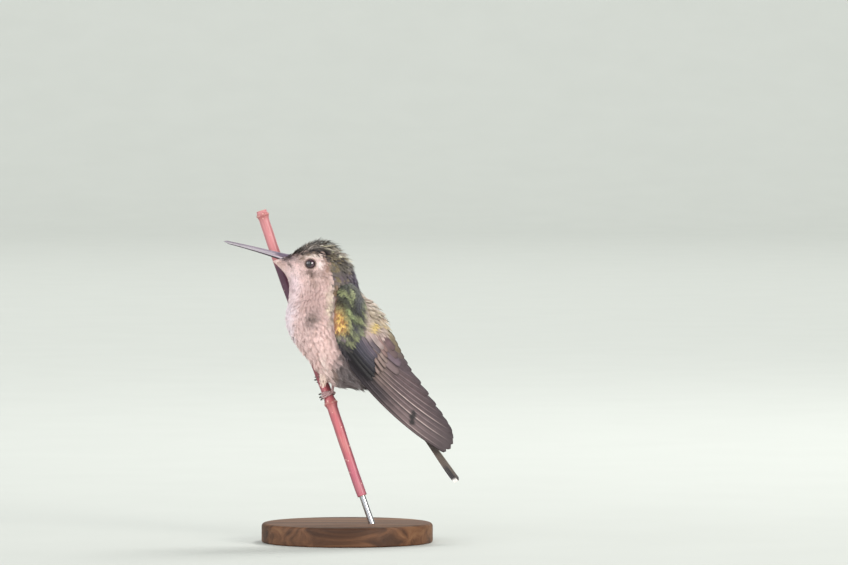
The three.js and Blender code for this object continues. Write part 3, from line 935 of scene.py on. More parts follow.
class Sheet:
    """A smooth surface kept as a fine grid, read at shares t along it and u round it."""

    def __init__(self, points, closed):
        self.points, self.closed = points, closed
        self.rows, self.columns = points.shape[:2]
        self.steps = self.columns if closed else self.columns - 1
        down = np.gradient(points, axis=0) * (self.rows - 1)
        if closed:
            wide = np.concatenate([points[:, -1:], points, points[:, :1]], axis=1)
            round_ = np.gradient(wide, axis=1)[:, 1:-1] * self.steps
        else:
            round_ = np.gradient(points, axis=1) * self.steps
        self.down, self.round = down, round_
        self.normals = unit(np.cross(round_, down))
        if closed and np.einsum("ijk,ijk->", self.normals, points - points.mean(1, keepdims=True)) < 0:
            self.normals = -self.normals

    def read(self, field, t, u):
        row = np.clip(t, 0, 1) * (self.rows - 1)
        i = np.minimum(row.astype(int), self.rows - 2)
        a = (row - i)[..., None]
        if self.closed:
            column = np.mod(u, 1) * self.steps
            j = np.minimum(column.astype(int), self.columns - 1)
            k = (j + 1) % self.columns
        else:
            column = np.clip(u, 0, 1) * self.steps
            j = np.minimum(column.astype(int), self.columns - 2)
            k = j + 1
        b = (column - j)[..., None]
        above = field[i, j] * (1 - b) + field[i, k] * b
        below = field[i + 1, j] * (1 - b) + field[i + 1, k] * b
        return above * (1 - a) + below * a

    def at(self, t, u):
        """Points and normals. Past the ends the surface goes straight on."""
        point = self.read(self.points, t, u)
        past = (t - np.clip(t, 0, 1))[..., None]
        if np.any(past):
            point = point + past * self.read(self.down, t, u)
        if not self.closed:
            aside = (u - np.clip(u, 0, 1))[..., None]
            if np.any(aside):
                point = point + aside * self.read(self.round, t, u)
        return point, unit(self.read(self.normals, t, u))


def point_tree(points):
    """The points, kept so that near ones are found fast."""
    tree = kdtree.KDTree(len(points))
    for i, point in enumerate(points):
        tree.insert(point, i)
    tree.balance()
    return tree


def scatter(sheet, spacing, keep_point, count, seed):
    """Places on a sheet, at random but never closer than the spacing there. Returns t, u and points."""
    rng = np.random.default_rng(seed)
    middle = (sheet.points[:-1, :-1] + sheet.points[1:, 1:]) / 2
    if sheet.closed:
        last = (sheet.points[:-1, -1:] + sheet.points[1:, :1]) / 2
        middle = np.concatenate([middle, last], axis=1)
    columns = middle.shape[1]
    area = np.linalg.norm(np.cross(sheet.down[:-1, :columns], sheet.round[:-1, :columns]), axis=-1)
    weight = (area / spacing(middle.reshape(-1, 3)).reshape(area.shape) ** 2).ravel()
    cells = rng.choice(len(weight), size=count, p=weight / weight.sum())
    t = (cells // columns + rng.random(count)) / (sheet.rows - 1)
    u = (cells % columns + rng.random(count)) / sheet.steps
    points, _ = sheet.at(t, u)
    wanted = keep_point(points, t, u)
    t, u, points = t[wanted], u[wanted], points[wanted]
    reach = spacing(points)
    tree = point_tree(points)
    free = np.ones(len(points), bool)
    chosen = []
    for i in range(len(points)):
        if free[i]:
            chosen.append(i)
            for _, j, _ in tree.find_range(points[i], reach[i]):
                free[j] = False
    return t[chosen], u[chosen], points[chosen]


# ------------------------------------------------------------
# Feathers


FEATHER_KINDS = 6  # different flat shapes in each coat
SHAFT, TIP = 0.84, 1.2  # where a flat feather's shaft and its last barb end
PATCH = 0.003  # how wide one feather is on its map


def vane(barbs, rng):
    """A flat feather of barbs: places along and across, how near the fringe each is, and its triangles."""
    places, fringe, faces = [], [], []

    def barb(root, tip, half, near):
        first = len(places)
        x, y = root + 0.45 * (tip[0] - root), tip[1] * 0.62
        places.extend([(root - half, 0), (root + half, 0), (x - half, y), (x + half, y), tip])
        fringe.extend([near * 0.25, near * 0.25, near * 0.55, near * 0.55, near])
        faces.extend(first + np.array([[0, 1, 3], [0, 3, 2], [2, 3, 4]]))

    for side in (1, -1):
        for k in range(barbs):
            share = (k + 0.5) / barbs
            root = 0.04 + SHAFT * share
            reach = 0.3 + 0.1 * (1 - share) + rng.uniform(-0.04, 0.04)
            across = math.sin(math.pi * (0.12 + 0.8 * share) ** 0.75) * rng.uniform(0.9, 1.08)
            barb(root, (root + reach, side * across), 0.5 * SHAFT / barbs * 1.2, 0.25 + 0.75 * share)
    # The last barbs, in one tapering strip.
    first = len(places)
    last = (TIP, rng.uniform(-0.06, 0.06))
    places.extend([(SHAFT, 0.1), (SHAFT, -0.1), (1.02, 0.07), (1.02, -0.07), last])
    fringe.extend([0.6, 0.6, 0.9, 0.9, 1.0])
    faces.extend(first + np.array([[0, 2, 1], [1, 2, 3], [3, 2, 4]]))
    shape = np.array(places) / [TIP, 1.0]
    faces = np.array(faces)
    # All triangles turn the same way, seen from above.
    a, b, c = (shape[faces[:, k]] for k in range(3))
    turned_over = (b[:, 0] - a[:, 0]) * (c[:, 1] - a[:, 1]) - (b[:, 1] - a[:, 1]) * (c[:, 0] - a[:, 0]) < 0
    faces[turned_over] = faces[turned_over][:, ::-1]
    return shape, np.array(fringe), faces


def plumes(name, slot, sheet, roots, barbs, look, bake, seed):
    """One coat piece: a feather at each root. look(points, rng) gives their lengths, colours and lie."""
    t, u, points = roots
    rng = np.random.default_rng(seed)
    style = look(points, rng)
    down = np.linalg.norm(sheet.read(sheet.down, t, u), axis=-1)
    round_ = np.linalg.norm(sheet.read(sheet.round, t, u), axis=-1)
    kinds = rng.integers(0, FEATHER_KINDS, len(t))
    joined = Joined()
    for kind in range(FEATHER_KINDS):
        mine = np.flatnonzero(kinds == kind)
        if len(mine) == 0:
            continue
        shape, fringe, faces = vane(barbs, rng)
        along, across = shape[:, 0][None], shape[:, 1][None]
        own = {key: values[mine][:, None] for key, values in style.items()}
        length, width, lean = own["length"], own["width"], own["lean"]
        forward = along * length * np.cos(lean) - across * width * np.sin(lean)
        aside = along * length * np.sin(lean) + across * width * np.cos(lean)
        # The middle of each feather bows a little to one side.
        aside = aside + (own["bow"] * length) * along**2
        reach_t = t[mine][:, None] + forward / down[mine][:, None]
        reach_u = u[mine][:, None] + aside / round_[mine][:, None]
        surface, normal = sheet.at(reach_t, reach_u)
        twist = rng.normal(0, 0.12, (len(mine), 1)) * width * across
        height = own["lift"] * along**0.85 - 0.35 * width * across**2 + twist + own["root"]
        height = height + own["curl"] * length * along**3
        every = np.ones((len(mine), 1))
        tint = mix(own["base"], own["main"], smooth(0.15, 0.55, along) * every)
        edge = smooth(own["edge"], 1.0, fringe[None]) * smooth(0.35, 0.8, along)
        gloss = own["gloss"] * (1 - 0.7 * edge) * smooth(0.2, 0.6, along)
        patch = np.column_stack([shape[:, 1] * 0.5, shape[:, 0] - 0.5]) * PATCH
        where = bake(t[mine], u[mine])[:, None] + patch[None]
        firsts = np.arange(len(mine)) * len(shape)
        joined.add(
            (surface + normal * height[..., None]).reshape(-1, 3),
            [(faces[None] + firsts[:, None, None]).reshape(-1, 3)],
            tint=mix(tint, own["tip"], edge).reshape(-1, 3),
            gloss=(gloss * every).ravel(),
            bake=where.reshape(-1, 2),
        )
    keep(joined.piece(name, "feather"), slot)


# ------------------------------------------------------------
# The body and its markings


def body_ring(t, turn):
    """Points on the outline of the coat. Turn 0 is the back and a quarter turn is the bird's right."""
    x0, z0, x1, z1, width, rise = np.moveaxis(read(BODY, t), -1, 0)
    x = (x0 + x1) / 2 + (x1 - x0) / 2 * np.cos(turn)
    z = (z0 + z1) / 2 + (z1 - z0) / 2 * np.cos(turn)
    y = width * np.sin(turn) * (1 + rise * np.cos(turn))
    return np.stack([x, y, z], -1)


# The line between the pale under side and the dark upper side, from the bill over the eye to the tail.
BOUNDARY = [
    (-16.4, 73.6), (-13.4, 73.9), (-11.4, 74.4), (-9.0, 74.7), (-6.7, 74.2), (-5.4, 73.0), (-4.9, 71.3),
    (-4.4, 69.0), (-4.0, 67.0), (-3.1, 65.0), (-2.0, 62.0), (0.2, 56.0), (3.6, 50.2), (7.0, 45.0),
    (10.0, 41.0), (13.0, 37.0),
]
EYE = (-9.3, 71.75)
FACE_FRONT = (-15.5, 72.8)  # where the first feathers meet the bill


def away_from(centre, points):
    """How far points lie from a place in the side view, in mm."""
    return np.hypot(points[:, 0] - centre[0], points[:, 2] - centre[1])


def coat_depth(points):
    """How deep the coat is over the skin, in mm."""
    x, z = points[:, 0], points[:, 2]
    from_bill = away_from(FACE_FRONT, points)
    depth = 0.22 + 0.5 * smooth(1.0, 12.0, from_bill) + 0.35 * smooth(12, 24, from_bill)
    dark = smooth(-0.3, 0.5, beside(BOUNDARY, x, z))
    depth += 0.18 * dark * smooth(66, 74, z)
    return depth - 0.3 * smooth(3.2, 1.6, away_from(EYE, points)) * smooth(2.0, 4.0, np.abs(points[:, 1]))


# Marks for dabs(): tone, strength, centre in the side view, size and turn.
BREAST_MARKS = [
    ("#F6D2CB", 0.85, (-5.4, 51.0), (4.4, 5.0), 0.2),
    ("#BE9F99", 0.7, (-8.4, 62.5), (2.4, 6.0), -0.12),
    ("#75635F", 0.9, (-9.3, 58.3), (1.5, 2.2), -0.3),
]
FLANK_MARKS = [
    ("#A98D84", 0.6, (-5.6, 61.5), (0.35, 4.4), -0.06),
    ("#E4D4BE", 1.0, (-4.4, 61.6), (0.85, 4.6), -0.06),
    ("#C9A399", 0.6, (-7.4, 46.8), (2.2, 1.8)),
    # Painted shade: the dark brown mark below, low on the belly between the thigh and the vent.
    ("#7A655C", 0.95, (-4.7, 44.4), (1.0, 2.2), 0.15),
    ("#F4DFD6", 0.8, (-6.6, 47.6), (0.8, 3.0), 0.05),
]
# Dusky brow over a cream arc, white mark behind the eye, dusky gape, cheek and lores.
FACE_MARKS = [
    ("#7E6956", 1.0, (-9.4, 74.3), (3.2, 0.6), 0.05),
    ("#7D6753", 0.9, (-11.7, 73.2), (1.3, 0.6), 0.7),
    ("#735642", 0.95, (-5.8, 72.9), (1.7, 0.6), -0.95),
    ("#F6E9DF", 0.8, (-8.9, 73.75), (1.9, 0.26), 0.05),
    ("#F3E9E5", 1.0, (-7.15, 71.9), (0.75, 1.2)),
    ("#5E4A43", 1.0, (-9.2, 69.7), (1.9, 0.75), -0.15),
    ("#967A70", 0.85, (-6.2, 69.4), (2.1, 0.65), -0.9),
    ("#A08379", 0.6, (-8.8, 68.2), (1.7, 0.8), -0.9),
    ("#77635B", 0.85, (-14.9, 71.6), (1.0, 0.3), -0.8),
    ("#C7A79A", 0.7, (-17.2, 71.6), (1.8, 0.7), -0.5),
    ("#4A3844", 0.95, (-15.3, 73.5), (2.0, 0.6), -0.3),
    ("#453B46", 0.95, (-16.8, 73.0), (1.8, 0.42), -0.3),
    ("#8A6A58", 0.85, (-5.3, 70.9), (0.7, 1.4), 0.3),
]


def plumage(points):
    """The markings: main and fringe colour, shine, and how far each place is dark upper side and back."""
    x, z = points[:, 0], points[:, 2]
    fine, wide = noise(points, 1.5, 11), noise(points, 4.5, 12)
    line = beside(BOUNDARY, x, z) + 0.28 * fine
    dark = smooth(-0.25, 0.3, line)

    # Under side: warm white, rosier on the flanks, greyer where the down shows. Painted light makes it paler
    # along its front edge, from the throat down the breast.
    pale = blend("#DBBCB7", "#EFD8D7", smooth(-11.5, -13.0, x) * smooth(57, 61, z))
    pale = paint(pale, "#EACBC5", 0.8 * smooth(66, 69, z))
    # Painted light on the front edge of the throat and breast.
    pale = paint(pale, "#FFE9EC", 0.9 * spot(x, z, (-13.7, 67.2), (1.8, 3.2), 0.2))
    pale = paint(pale, "#F2E4EA", 0.8 * smooth(-12.8, -14.6, x) * smooth(64.5, 61, z) * smooth(49, 53, z))
    pale = dabs(pale, x, z, BREAST_MARKS)
    pale = paint(pale, "#BC9E94", 0.45 * smooth(0.4, 1.2, fine) * smooth(48, 54, z))
    gaps = 0.75 * spot(x, z, (-8.2, 66.9), (0.75, 0.6)) + 0.7 * spot(x, z, (-9.2, 58.8), (0.6, 0.9))
    pale = paint(pale, "#857268", gaps)
    # Grey-brown down at the vent, darkened further as painted shade under the body.
    belly = 0.95 * smooth(-6.2, -4.0, x + 0.5 * fine) * smooth(49.0, 45.5, z + 0.5 * fine)
    pale = paint(pale, "#786B6A", belly)
    # Painted shade on the flank, beside and under the folded wing.
    shade_under_wing = smooth(-3.7, -2.4, x - 0.15 * (z - 49) + 0.3 * fine) * smooth(52.5, 50.0, z)
    pale = paint(pale, "#6B6060", 0.85 * shade_under_wing)
    pale = dabs(dabs(pale, x, z, FLANK_MARKS), x, z, FACE_MARKS)

    # Upper side: dusky crown, olive and violet nape, bronze green back with a gold spot of painted sheen.
    top = blend("#978C82", "#5A4B3E", smooth(-10.5, -13.0, x))
    top = paint(top, "#5A564C", smooth(74.5, 71.5, z) * smooth(-6.5, -3.5, x) * 0.7)
    top = paint(top, "#2A2122", 0.9 * smooth(0.9, 0.35, line) * smooth(72.0, 73.5, z))
    top = paint(top, "#453D4E", smooth(-0.8, 1.0, x) * smooth(73.5, 70.0, z) * smooth(62, 66, z))
    top = paint(top, "#7F707C", 0.85 * spot(x, z, (-2.2, 68.7), (2.4, 1.2), -0.05))
    top = paint(top, "#6E764F", smooth(66.5, 62, z))
    top = paint(top, "#A98566", 0.7 * spot(x, z, (-3.0, 65.2), (0.5, 2.4)))
    back = smooth(3.2, 4.6, x + 0.3 * (z - 60)) * smooth(66.5, 64, z)
    top = paint(top, "#C7B4A9", 0.95 * back)
    top = paint(top, "#9A9268", 0.35 * back * smooth(-0.2, 0.8, wide))
    top = paint(top, "#948A72", 0.85 * spot(x, z, (10.9, 56.4), (4.0, 1.3), -0.96))
    # Painted sheen: a gold spot on the back.
    top = paint(top, "#DEC26C", 0.9 * spot(x, z, (7.5, 55.4), (1.2, 2.0), -0.6))
    top = paint(top, "#B39A92", 0.6 * smooth(53.5, 51.5, z) * smooth(6, 8, x) * smooth(46, 49, z))
    top = paint(top, "#667140", smooth(46, 41, z))

    tip_pale = paint(pale, "#FFFFFF", 0.12)
    tip_top = mix(paint(top, "#8D8A62", 0.4 * smooth(76, 62, z)), linear("#C4B3A2"), 0.6 * back)
    main, tip = mix(pale, top, dark), mix(tip_pale, tip_top, dark)
    gloss = dark * (0.12 + 0.4 * smooth(70, 64, z)) * (1 - 0.7 * back)
    return main, tip, gloss, dark, back


body_t = np.linspace(0, 1, 320)
body_turn = turns(288)
outline = Sheet(body_ring(body_t[:, None], body_turn[None]), closed=True)


def modelled_head(points):
    """Small forms under the feathers of the face, in mm along the normal: brow, lores, cheek and gape."""
    x, y, z = points.T
    side = smooth(1.2, 3.6, np.abs(y))
    brow = 0.42 * spot(x, z, (EYE[0] - 0.2, EYE[1] + 1.95), (2.3, 0.7), 0.05)
    socket = -0.55 * spot(x, z, EYE, (1.75, 1.6))
    lores = -0.38 * spot(x, z, (-12.6, 72.3), (1.9, 0.8), 0.1)
    cheek = 0.28 * spot(x, z, (-9.0, 69.0), (2.8, 1.4), -0.25)
    gape = -0.22 * spot(x, z, (-14.9, 71.5), (1.0, 0.3), -0.5)
    return side * (brow + socket + lores + cheek + gape)


flat_outline = outline.points.reshape(-1, 3)
flat_normals = outline.normals.reshape(-1, 3)
depth = coat_depth(flat_outline) - modelled_head(flat_outline)
thin = np.repeat(smooth(0.0, 0.05, body_t), len(body_turn)) * 0.75 + 0.25
skin_points = flat_outline - flat_normals * (depth * thin)[:, None]
skin = Sheet(skin_points.reshape(outline.points.shape), closed=True)


def skin_tint(points):
    """The markings, darker where dark feathers shade the skin."""
    main, _, _, dark, back = plumage(points)
    return main * mix(0.9, 0.62, dark * (1 - back))


def lid_ring(word):
    """A naked rim round the eye: a wrinkled roll of skin, dark inside, and a little longer than high."""
    centre, side = eye_centre(word), SIDES[word]
    rows, columns = 72, 16
    around, turn = turns(rows), turns(columns)
    x = centre[0] + np.cos(around) * LID_LENGTH
    z = centre[2] + np.sin(around) * LID_HEIGHT
    # The rim rests on the eyeball.
    depth_at = math.sqrt((EYE_RADIUS - 0.06) ** 2 - 1.24**2)
    ring = np.stack([x, centre[1] + side * (depth_at + 0.02) * np.ones(rows), z], -1)
    out = np.stack([np.cos(around), np.zeros(rows), np.sin(around)], -1)
    facing = np.array([0.0, side, 0.0])
    roll = 0.22 + 0.035 * np.sin(around * 17 + 0.6 * np.sin(around * 3))
    points = (ring[:, None] + rings(out, 1.15 * facing, turn) * roll[:, None, None]).reshape(-1, 3)
    faces = grid_faces(rows + 1, columns) % (rows * columns)
    inner = np.tile(smooth(0.4, -0.8, np.cos(turn)), rows)
    tint = blend("#8A756C", "#221B19", inner)
    uv = np.column_stack([np.repeat(around, columns) / 6.3, np.tile(turn, rows) / 6.3])
    return points, faces, tint, uv


def make_skin():
    """The skin of the body, the thighs and the rims of the eyes, each in its own part of one map."""
    joined = Joined()
    grid = skin.points
    joined.add_grid(grid, tint=skin_tint(capped(grid)), uv=grid_uv(*grid.shape[:2]) * [1.0, 0.88])
    for i, table in enumerate(THIGHS.values()):
        # Half of the sheet's rings and columns are enough under the feathers.
        thigh = thigh_sheet(table).points[::2, ::2]
        uv = grid_uv(*thigh.shape[:2]) * [0.3, 0.08] + [0.35 * i, 0.91]
        joined.add_grid(thigh, tint=np.tile(linear("#C9A89C"), (len(uv), 1)), uv=uv)
    for i, word in enumerate(SIDES):
        points, rim, tint, uv = lid_ring(word)
        uv = uv * [0.1, 0.08] + [0.72 + 0.14 * i, 0.91]
        joined.add(points, faced_out(points - points.mean(0), [rim]), tint=tint, uv=uv)
    keep(joined.piece("skin", "skin"), "body_plumage", "head", "neck", "trunk", "tail_coverts")


def thigh_sheet(table):
    """The feathered thigh, in the bird's own frame, as a sheet inside the coat."""
    rows = np.array(table) - [0, BIRD_Y, 0, 0]
    return Sheet(tube(rows[:, :3], lambda t: read(rows, t)[..., 3] - 0.35, 60, 40), closed=True)


make_skin()


# ------------------------------------------------------------
# The coat of the body


def feather_length(points):
    """Tiny round the bill and the eye, and longer away from them."""
    length = np.minimum(0.5 + 0.088 * away_from(FACE_FRONT, points), 3.1)
    near_eye = 0.35 * smooth(3.4, 1.6, away_from(EYE, points)) * smooth(1.5, 3.0, np.abs(points[:, 1]))
    return length * (1 - near_eye)


def feather_spacing(points):
    """How close together the roots are, in mm."""
    return 0.27 * feather_length(points) + 0.06


# The part of the body behind the folded wing, between these two lines.
WING_COVER_FRONT = [
    (-1.0, 68.0), (-1.6, 62.0), (-1.9, 56.0), (-0.7, 50.5), (3.6, 45.0), (9.4, 38.9), (16.0, 33.0),
]
WING_COVER_BACK = [(-0.6, 68.0), (2.0, 62.0), (3.6, 57.0), (7.6, 52.0), (12.6, 45.4), (17.0, 39.8)]


def under_wing(points):
    """True where the folded wing hides the body altogether."""
    x, y, z = points.T
    inside = (beside(WING_COVER_FRONT, x, z) > 0) & (beside(WING_COVER_BACK, x, z) < 0)
    return inside & (np.abs(y) > 3.4) & (z < 65.5)


def body_keep(low, high, dark_side):
    """A test for roots between two shares of the body's length, on its dark or its pale side."""

    def test(points, t, u):
        clear = (away_from(EYE, points) > 1.5) | (np.abs(points[:, 1]) < 2.0)
        dark = beside(BOUNDARY, points[:, 0], points[:, 2]) > 0
        return (t >= low) & (t < high) & clear & ~under_wing(points) & (dark == dark_side)

    return test


# Pale feather ends on the crown: x, z, colour and how strongly each shows.
CROWN_FLECKS = [
    (-12.0, 75.2, "#B4A8A8", 0.8),
    (-11.2, 76.0, "#9A918C", 0.6),
    (-9.2, 75.3, "#FFF2E6", 1.0),
    (-8.0, 75.6, "#E2D6CA", 0.9),
    (-7.0, 75.9, "#D8CEC0", 0.8),
    (-5.5, 75.9, "#E6DCBC", 0.9),
    (-7.4, 77.2, "#A8A29C", 0.8),
    (-5.2, 77.2, "#8F8F88", 0.6),
    (-3.0, 74.6, "#C4C09A", 0.9),
    (-1.2, 73.9, "#C8C2A6", 0.9),
    (0.2, 73.2, "#C2BEA8", 0.9),
    (-3.4, 72.9, "#8C8468", 0.7),
]


def body_look(points, rng):
    """The lie and colours of the body's feathers."""
    count = len(points)
    x, y, z = points.T
    main, tip, gloss, dark, back = plumage(points + rng.normal(0, 0.18, points.shape))
    length = feather_length(points) * rng.uniform(0.85, 1.15, count)
    crown = dark * smooth(70.0, 74.5, z)
    vent = smooth(-6.5, -3.0, x) * smooth(46.5, 42.5, z) * (1 - dark)
    tuft = dark * spot(x, z, (0.2, 73.2), (1.2, 1.4))
    bristle = crown * (rng.random(count) < 0.3) + tuft * (rng.random(count) < 0.5)
    length = length * (1 - 0.12 * crown + 0.6 * bristle + 0.35 * vent)
    width = length * (0.36 - 0.2 * bristle - 0.08 * vent) * rng.uniform(0.9, 1.15, count)
    lift = coat_depth(points) * rng.uniform(0.7, 1.0, count) + 0.05
    lift = lift * (1 + 0.35 * crown * rng.random(count)) + 0.2 * dark * spot(x, z, (-13.2, 74.6), (1.6, 0.9))
    # The feathers of the nape and back, and those over the shoulders, are fluffed up.
    puff = spot(x, z, (8.0, 59.4), (6.0, 2.6), -0.96) + 0.75 * spot(x, z, (-1.2, 74.0), (3.2, 2.0), -0.8)
    puff += 0.9 * spot(x, z, (0.4, 66.9), (2.6, 1.5)) * smooth(2.0, 3.4, np.abs(y))
    puff = puff + 0.3 * spot(x, z, (-9.5, 76.6), (3.0, 1.2), 0.2) + 0.4 * spot(x, z, (-6.6, 77.2), (2.6, 1.4))
    puff = dark * puff
    lift, length = lift + puff * rng.uniform(0.6, 1.0, count), length * (1 + 0.3 * puff)
    curl = rng.normal(0.0, 0.02, count) + 0.3 * bristle + 0.16 * vent * rng.random(count)
    sway = 0.22 * noise(points, 3.2, 31) + 0.16 * noise(points, 1.1, 32)
    lean = sway + rng.normal(0, 0.1, count) + vent * rng.normal(0, 0.45, count)
    bright = (1 + rng.uniform(-0.14, 0.12, count) * (0.4 + 0.6 * dark))[:, None]
    # The crown is streaked along the lie of its feathers: down the slope from the bill to the nape.
    radius, arc = np.hypot(x + 6.0, z - 67.0), 9.0 * np.arctan2(x + 6.0, z - 67.0)
    streak = noise(np.stack([radius, y, 0.3 * arc], -1), 0.85, 33)
    pick = 0.5 - 0.55 * streak + rng.normal(0, 0.15, count)
    # Crown feathers end grey or olive; some of the nape's end gold.
    pale_end = blend("#F0E6DA", "#9A957A", smooth(-7.5, -4.0, x))
    pale_end = paint(pale_end, "#A39078", smooth(-11.5, -13.5, x))
    dark_end = np.where((pick < 0.5)[:, None], linear("#8D8768"), linear("#1F1A1B"))
    ends = np.where((pick < 0.42)[:, None], pale_end, dark_end)
    clear_of_brow = 0.25 + 0.75 * smooth(0.3, 0.9, beside(BOUNDARY, x, z))
    tip = mix(tip, ends, 0.95 * crown * clear_of_brow)
    main = paint(main, "#2A2425", 0.75 * crown * smooth(0.5, 0.62, pick))
    main = paint(main, "#A79C8E", 0.6 * crown * smooth(0.42, 0.3, pick) * smooth(-3.0, -6.0, x))
    olive = dark * spot(x, z, (-5.8, 76.2), (1.8, 0.9), -0.5)
    main = paint(main, "#5E5C42", 0.6 * olive)
    line = dark * spot(x, z, (-9.2, 74.95), (3.2, 0.5), -0.02)
    line = line + dark * spot(x, z, (-5.4, 74.3), (2.6, 0.55), -0.42)
    main = paint(main, "#241519", 0.95 * line)
    tip = paint(tip, "#2A191E", 0.9 * line)
    violet = dark * spot(x, z, (-0.6, 69.2), (1.6, 1.6))
    main = paint(main, "#3E3440", 0.45 * violet)
    tip = paint(tip, "#4A3F4C", 0.45 * violet)
    for across, up, colour, strength in CROWN_FLECKS:
        fleck = smooth(0.3, 0.6, dark * spot(x, z, (across - 1.35, up + 0.1), (0.62, 0.36), -0.3)) * strength
        main = mix(main, linear(colour), 0.75 * fleck)
        tip = mix(tip, linear(colour), fleck)
    nape = dark * smooth(-7.5, -5.0, x) * smooth(0.4, -0.8, x) * smooth(66.5, 68.0, z) * smooth(75.5, 73.0, z)
    golden = nape * (rng.random(count) < 0.32)
    main = paint(main, "#7C7058", golden)
    tip = paint(tip, "#AA9B7C", golden)
    shoulder = dark * smooth(66, 63, z) * (rng.random(count) < 0.35)
    tip = paint(tip, "#8C9A55", shoulder)
    return {
        "length": length,
        "width": width,
        "lift": lift,
        "root": np.full(count, -0.06),
        "curl": curl,
        "bow": rng.normal(0, 0.1, count),
        "lean": lean,
        "base": main * mix(0.95, 0.5, dark * (1 - back)) * bright,
        "main": main * bright,
        "tip": tip * bright,
        "edge": 0.45 - 0.3 * crown,
        "gloss": gloss * rng.uniform(0.6, 1.2, count),
    }


def body_map(t, u):
    """The bake map's places for the body: round and along."""
    return np.column_stack([0.01 + 0.98 * np.mod(u, 1), 0.01 + 0.86 * t])


# Name, the shares of the body's length between which it grows, dark side or not, barbs per side of a feather,
# how many places are tried, and the seed.
COATS = [
    ("coat_crown", 0.0, 0.3, True, 6, 90000, 41),
    ("coat_face", 0.0, 0.21, False, 6, 90000, 42),
    ("coat_throat", 0.21, 0.46, False, 8, 60000, 43),
    ("coat_breast", 0.46, 0.66, False, 10, 40000, 44),
    ("coat_back", 0.3, 1.01, True, 10, 40000, 45),
    ("coat_vent", 0.66, 1.01, False, 10, 30000, 46),
]
for name, low, high, dark_side, barbs, count, seed in COATS:
    roots = scatter(skin, feather_spacing, body_keep(low, high, dark_side), count, seed)
    plumes(name, "body_plumage", skin, roots, barbs, body_look, body_map, seed)


# ------------------------------------------------------------
# The feathered thighs


def thigh_coat(word, index, seed):
    """Loose pale feathers on the part of a thigh that stands out of the body."""
    sheet = thigh_sheet(THIGHS[word])
    body_points = skin.points[::4, ::4].reshape(-1, 3)
    body_normals = skin.normals[::4, ::4].reshape(-1, 3)
    tree = point_tree(body_points)

    def outside(points, t, u):
        near = [tree.find(point)[1] for point in points]
        return np.einsum("ij,ij->i", points - body_points[near], body_normals[near]) > -0.5

    def look(points, rng):
        count = len(points)
        z = points[:, 2]
        length = (1.1 + 0.9 * smooth(40.5, 45.5, z)) * rng.uniform(0.85, 1.15, count)
        shade = smooth(-5.2, -4.1, points[:, 0]) * (SIDES[word] < 0) + 0.6 * (SIDES[word] > 0)
        main = blend("#F0D6C9", "#857A74", 0.8 * shade) * rng.uniform(0.88, 1.08, (count, 1))
        return {
            "length": length,
            "width": length * rng.uniform(0.2, 0.27, count),
            "lift": rng.uniform(0.28, 0.5, count),
            "root": np.full(count, -0.08),
            "curl": rng.normal(0.02, 0.04, count),
            "bow": rng.normal(0, 0.1, count),
            "lean": rng.normal(0, 0.22, count),
            "base": main * 0.85,
            "main": main,
            "tip": paint(main, "#FFF4EC", 0.25),
            "edge": np.full(count, 0.5),
            "gloss": np.zeros(count),
        }

    def thigh_map(t, u):
        return np.column_stack([0.02 + 0.35 * index + 0.3 * u, 0.91 + 0.07 * t])

    roots = scatter(sheet, lambda points: np.full(len(points), 0.42), outside, 12000, seed)
    plumes(f"coat_thigh_{word}", "body_plumage", sheet, roots, 8, look, thigh_map, seed)


for index, word in enumerate(THIGHS):
    thigh_coat(word, index, 51 + index)


# ------------------------------------------------------------
# The wings


def wing_ring(s, angle, side, inset=0.0):
    """Points round the folded wing. The angle runs up over the outer face, and then back down inside."""
    lead, trail = read(WING_LEAD, s), read(WING_TRAIL, s)
    along = trail - lead
    length = np.linalg.norm(along, axis=-1, keepdims=True)
    flat = np.stack([along[..., 2], np.zeros_like(along[..., 0]), -along[..., 0]], -1)
    out = unit(np.cross(flat, along))
    out = out * np.where(out[..., 1:2] < 0, -1, 1)
    share = (1 - np.cos(angle))[..., None] / 2
    start = np.sqrt(np.clip(np.asarray(s) / 0.05, 0.02, 1))[..., None]
    place = 0.5 + (share - 0.5) * (1 - 2 * inset / length) * (0.4 + 0.6 * start)
    round_ = np.sqrt(np.maximum(0, 1 - (2 * share - 1) ** 4))
    thick = np.maximum(read(WING_THICKNESS, s) / 2 - inset, 0.12) * start
    lift = read(WING_BULGE, s) * np.sin(math.pi * place) + np.sign(np.sin(angle))[..., None] * thick * round_
    return (lead + along * place + out * lift) * [1, side, 1]


def wing_middle(s, share):
    """The middle layer of the right wing."""
    angle = np.arccos(1 - 2 * share)
    return (wing_ring(s, angle, RIGHT) + wing_ring(s, -angle, RIGHT)) / 2


def polynomial(x, z):
    """The terms up to the fourth power of a place in the side view, brought near the size of 1."""
    x, z = (x - 10) / 20, (z - 45) / 25
    return np.stack([x**i * z**j for i in range(5) for j in range(5 - i)], -1)


fit_grid = np.meshgrid(np.linspace(0.1, 1, 60), np.linspace(0.03, 0.97, 20))
fit_points = wing_middle(*(part.ravel() for part in fit_grid))
WING_FIT = np.linalg.lstsq(polynomial(fit_points[:, 0], fit_points[:, 2]), fit_points[:, 1], rcond=None)[0]


def wing_y(x, z):
    """How far out the folded wing's middle layer lies, seen from the side."""
    return polynomial(x, z) @ WING_FIT


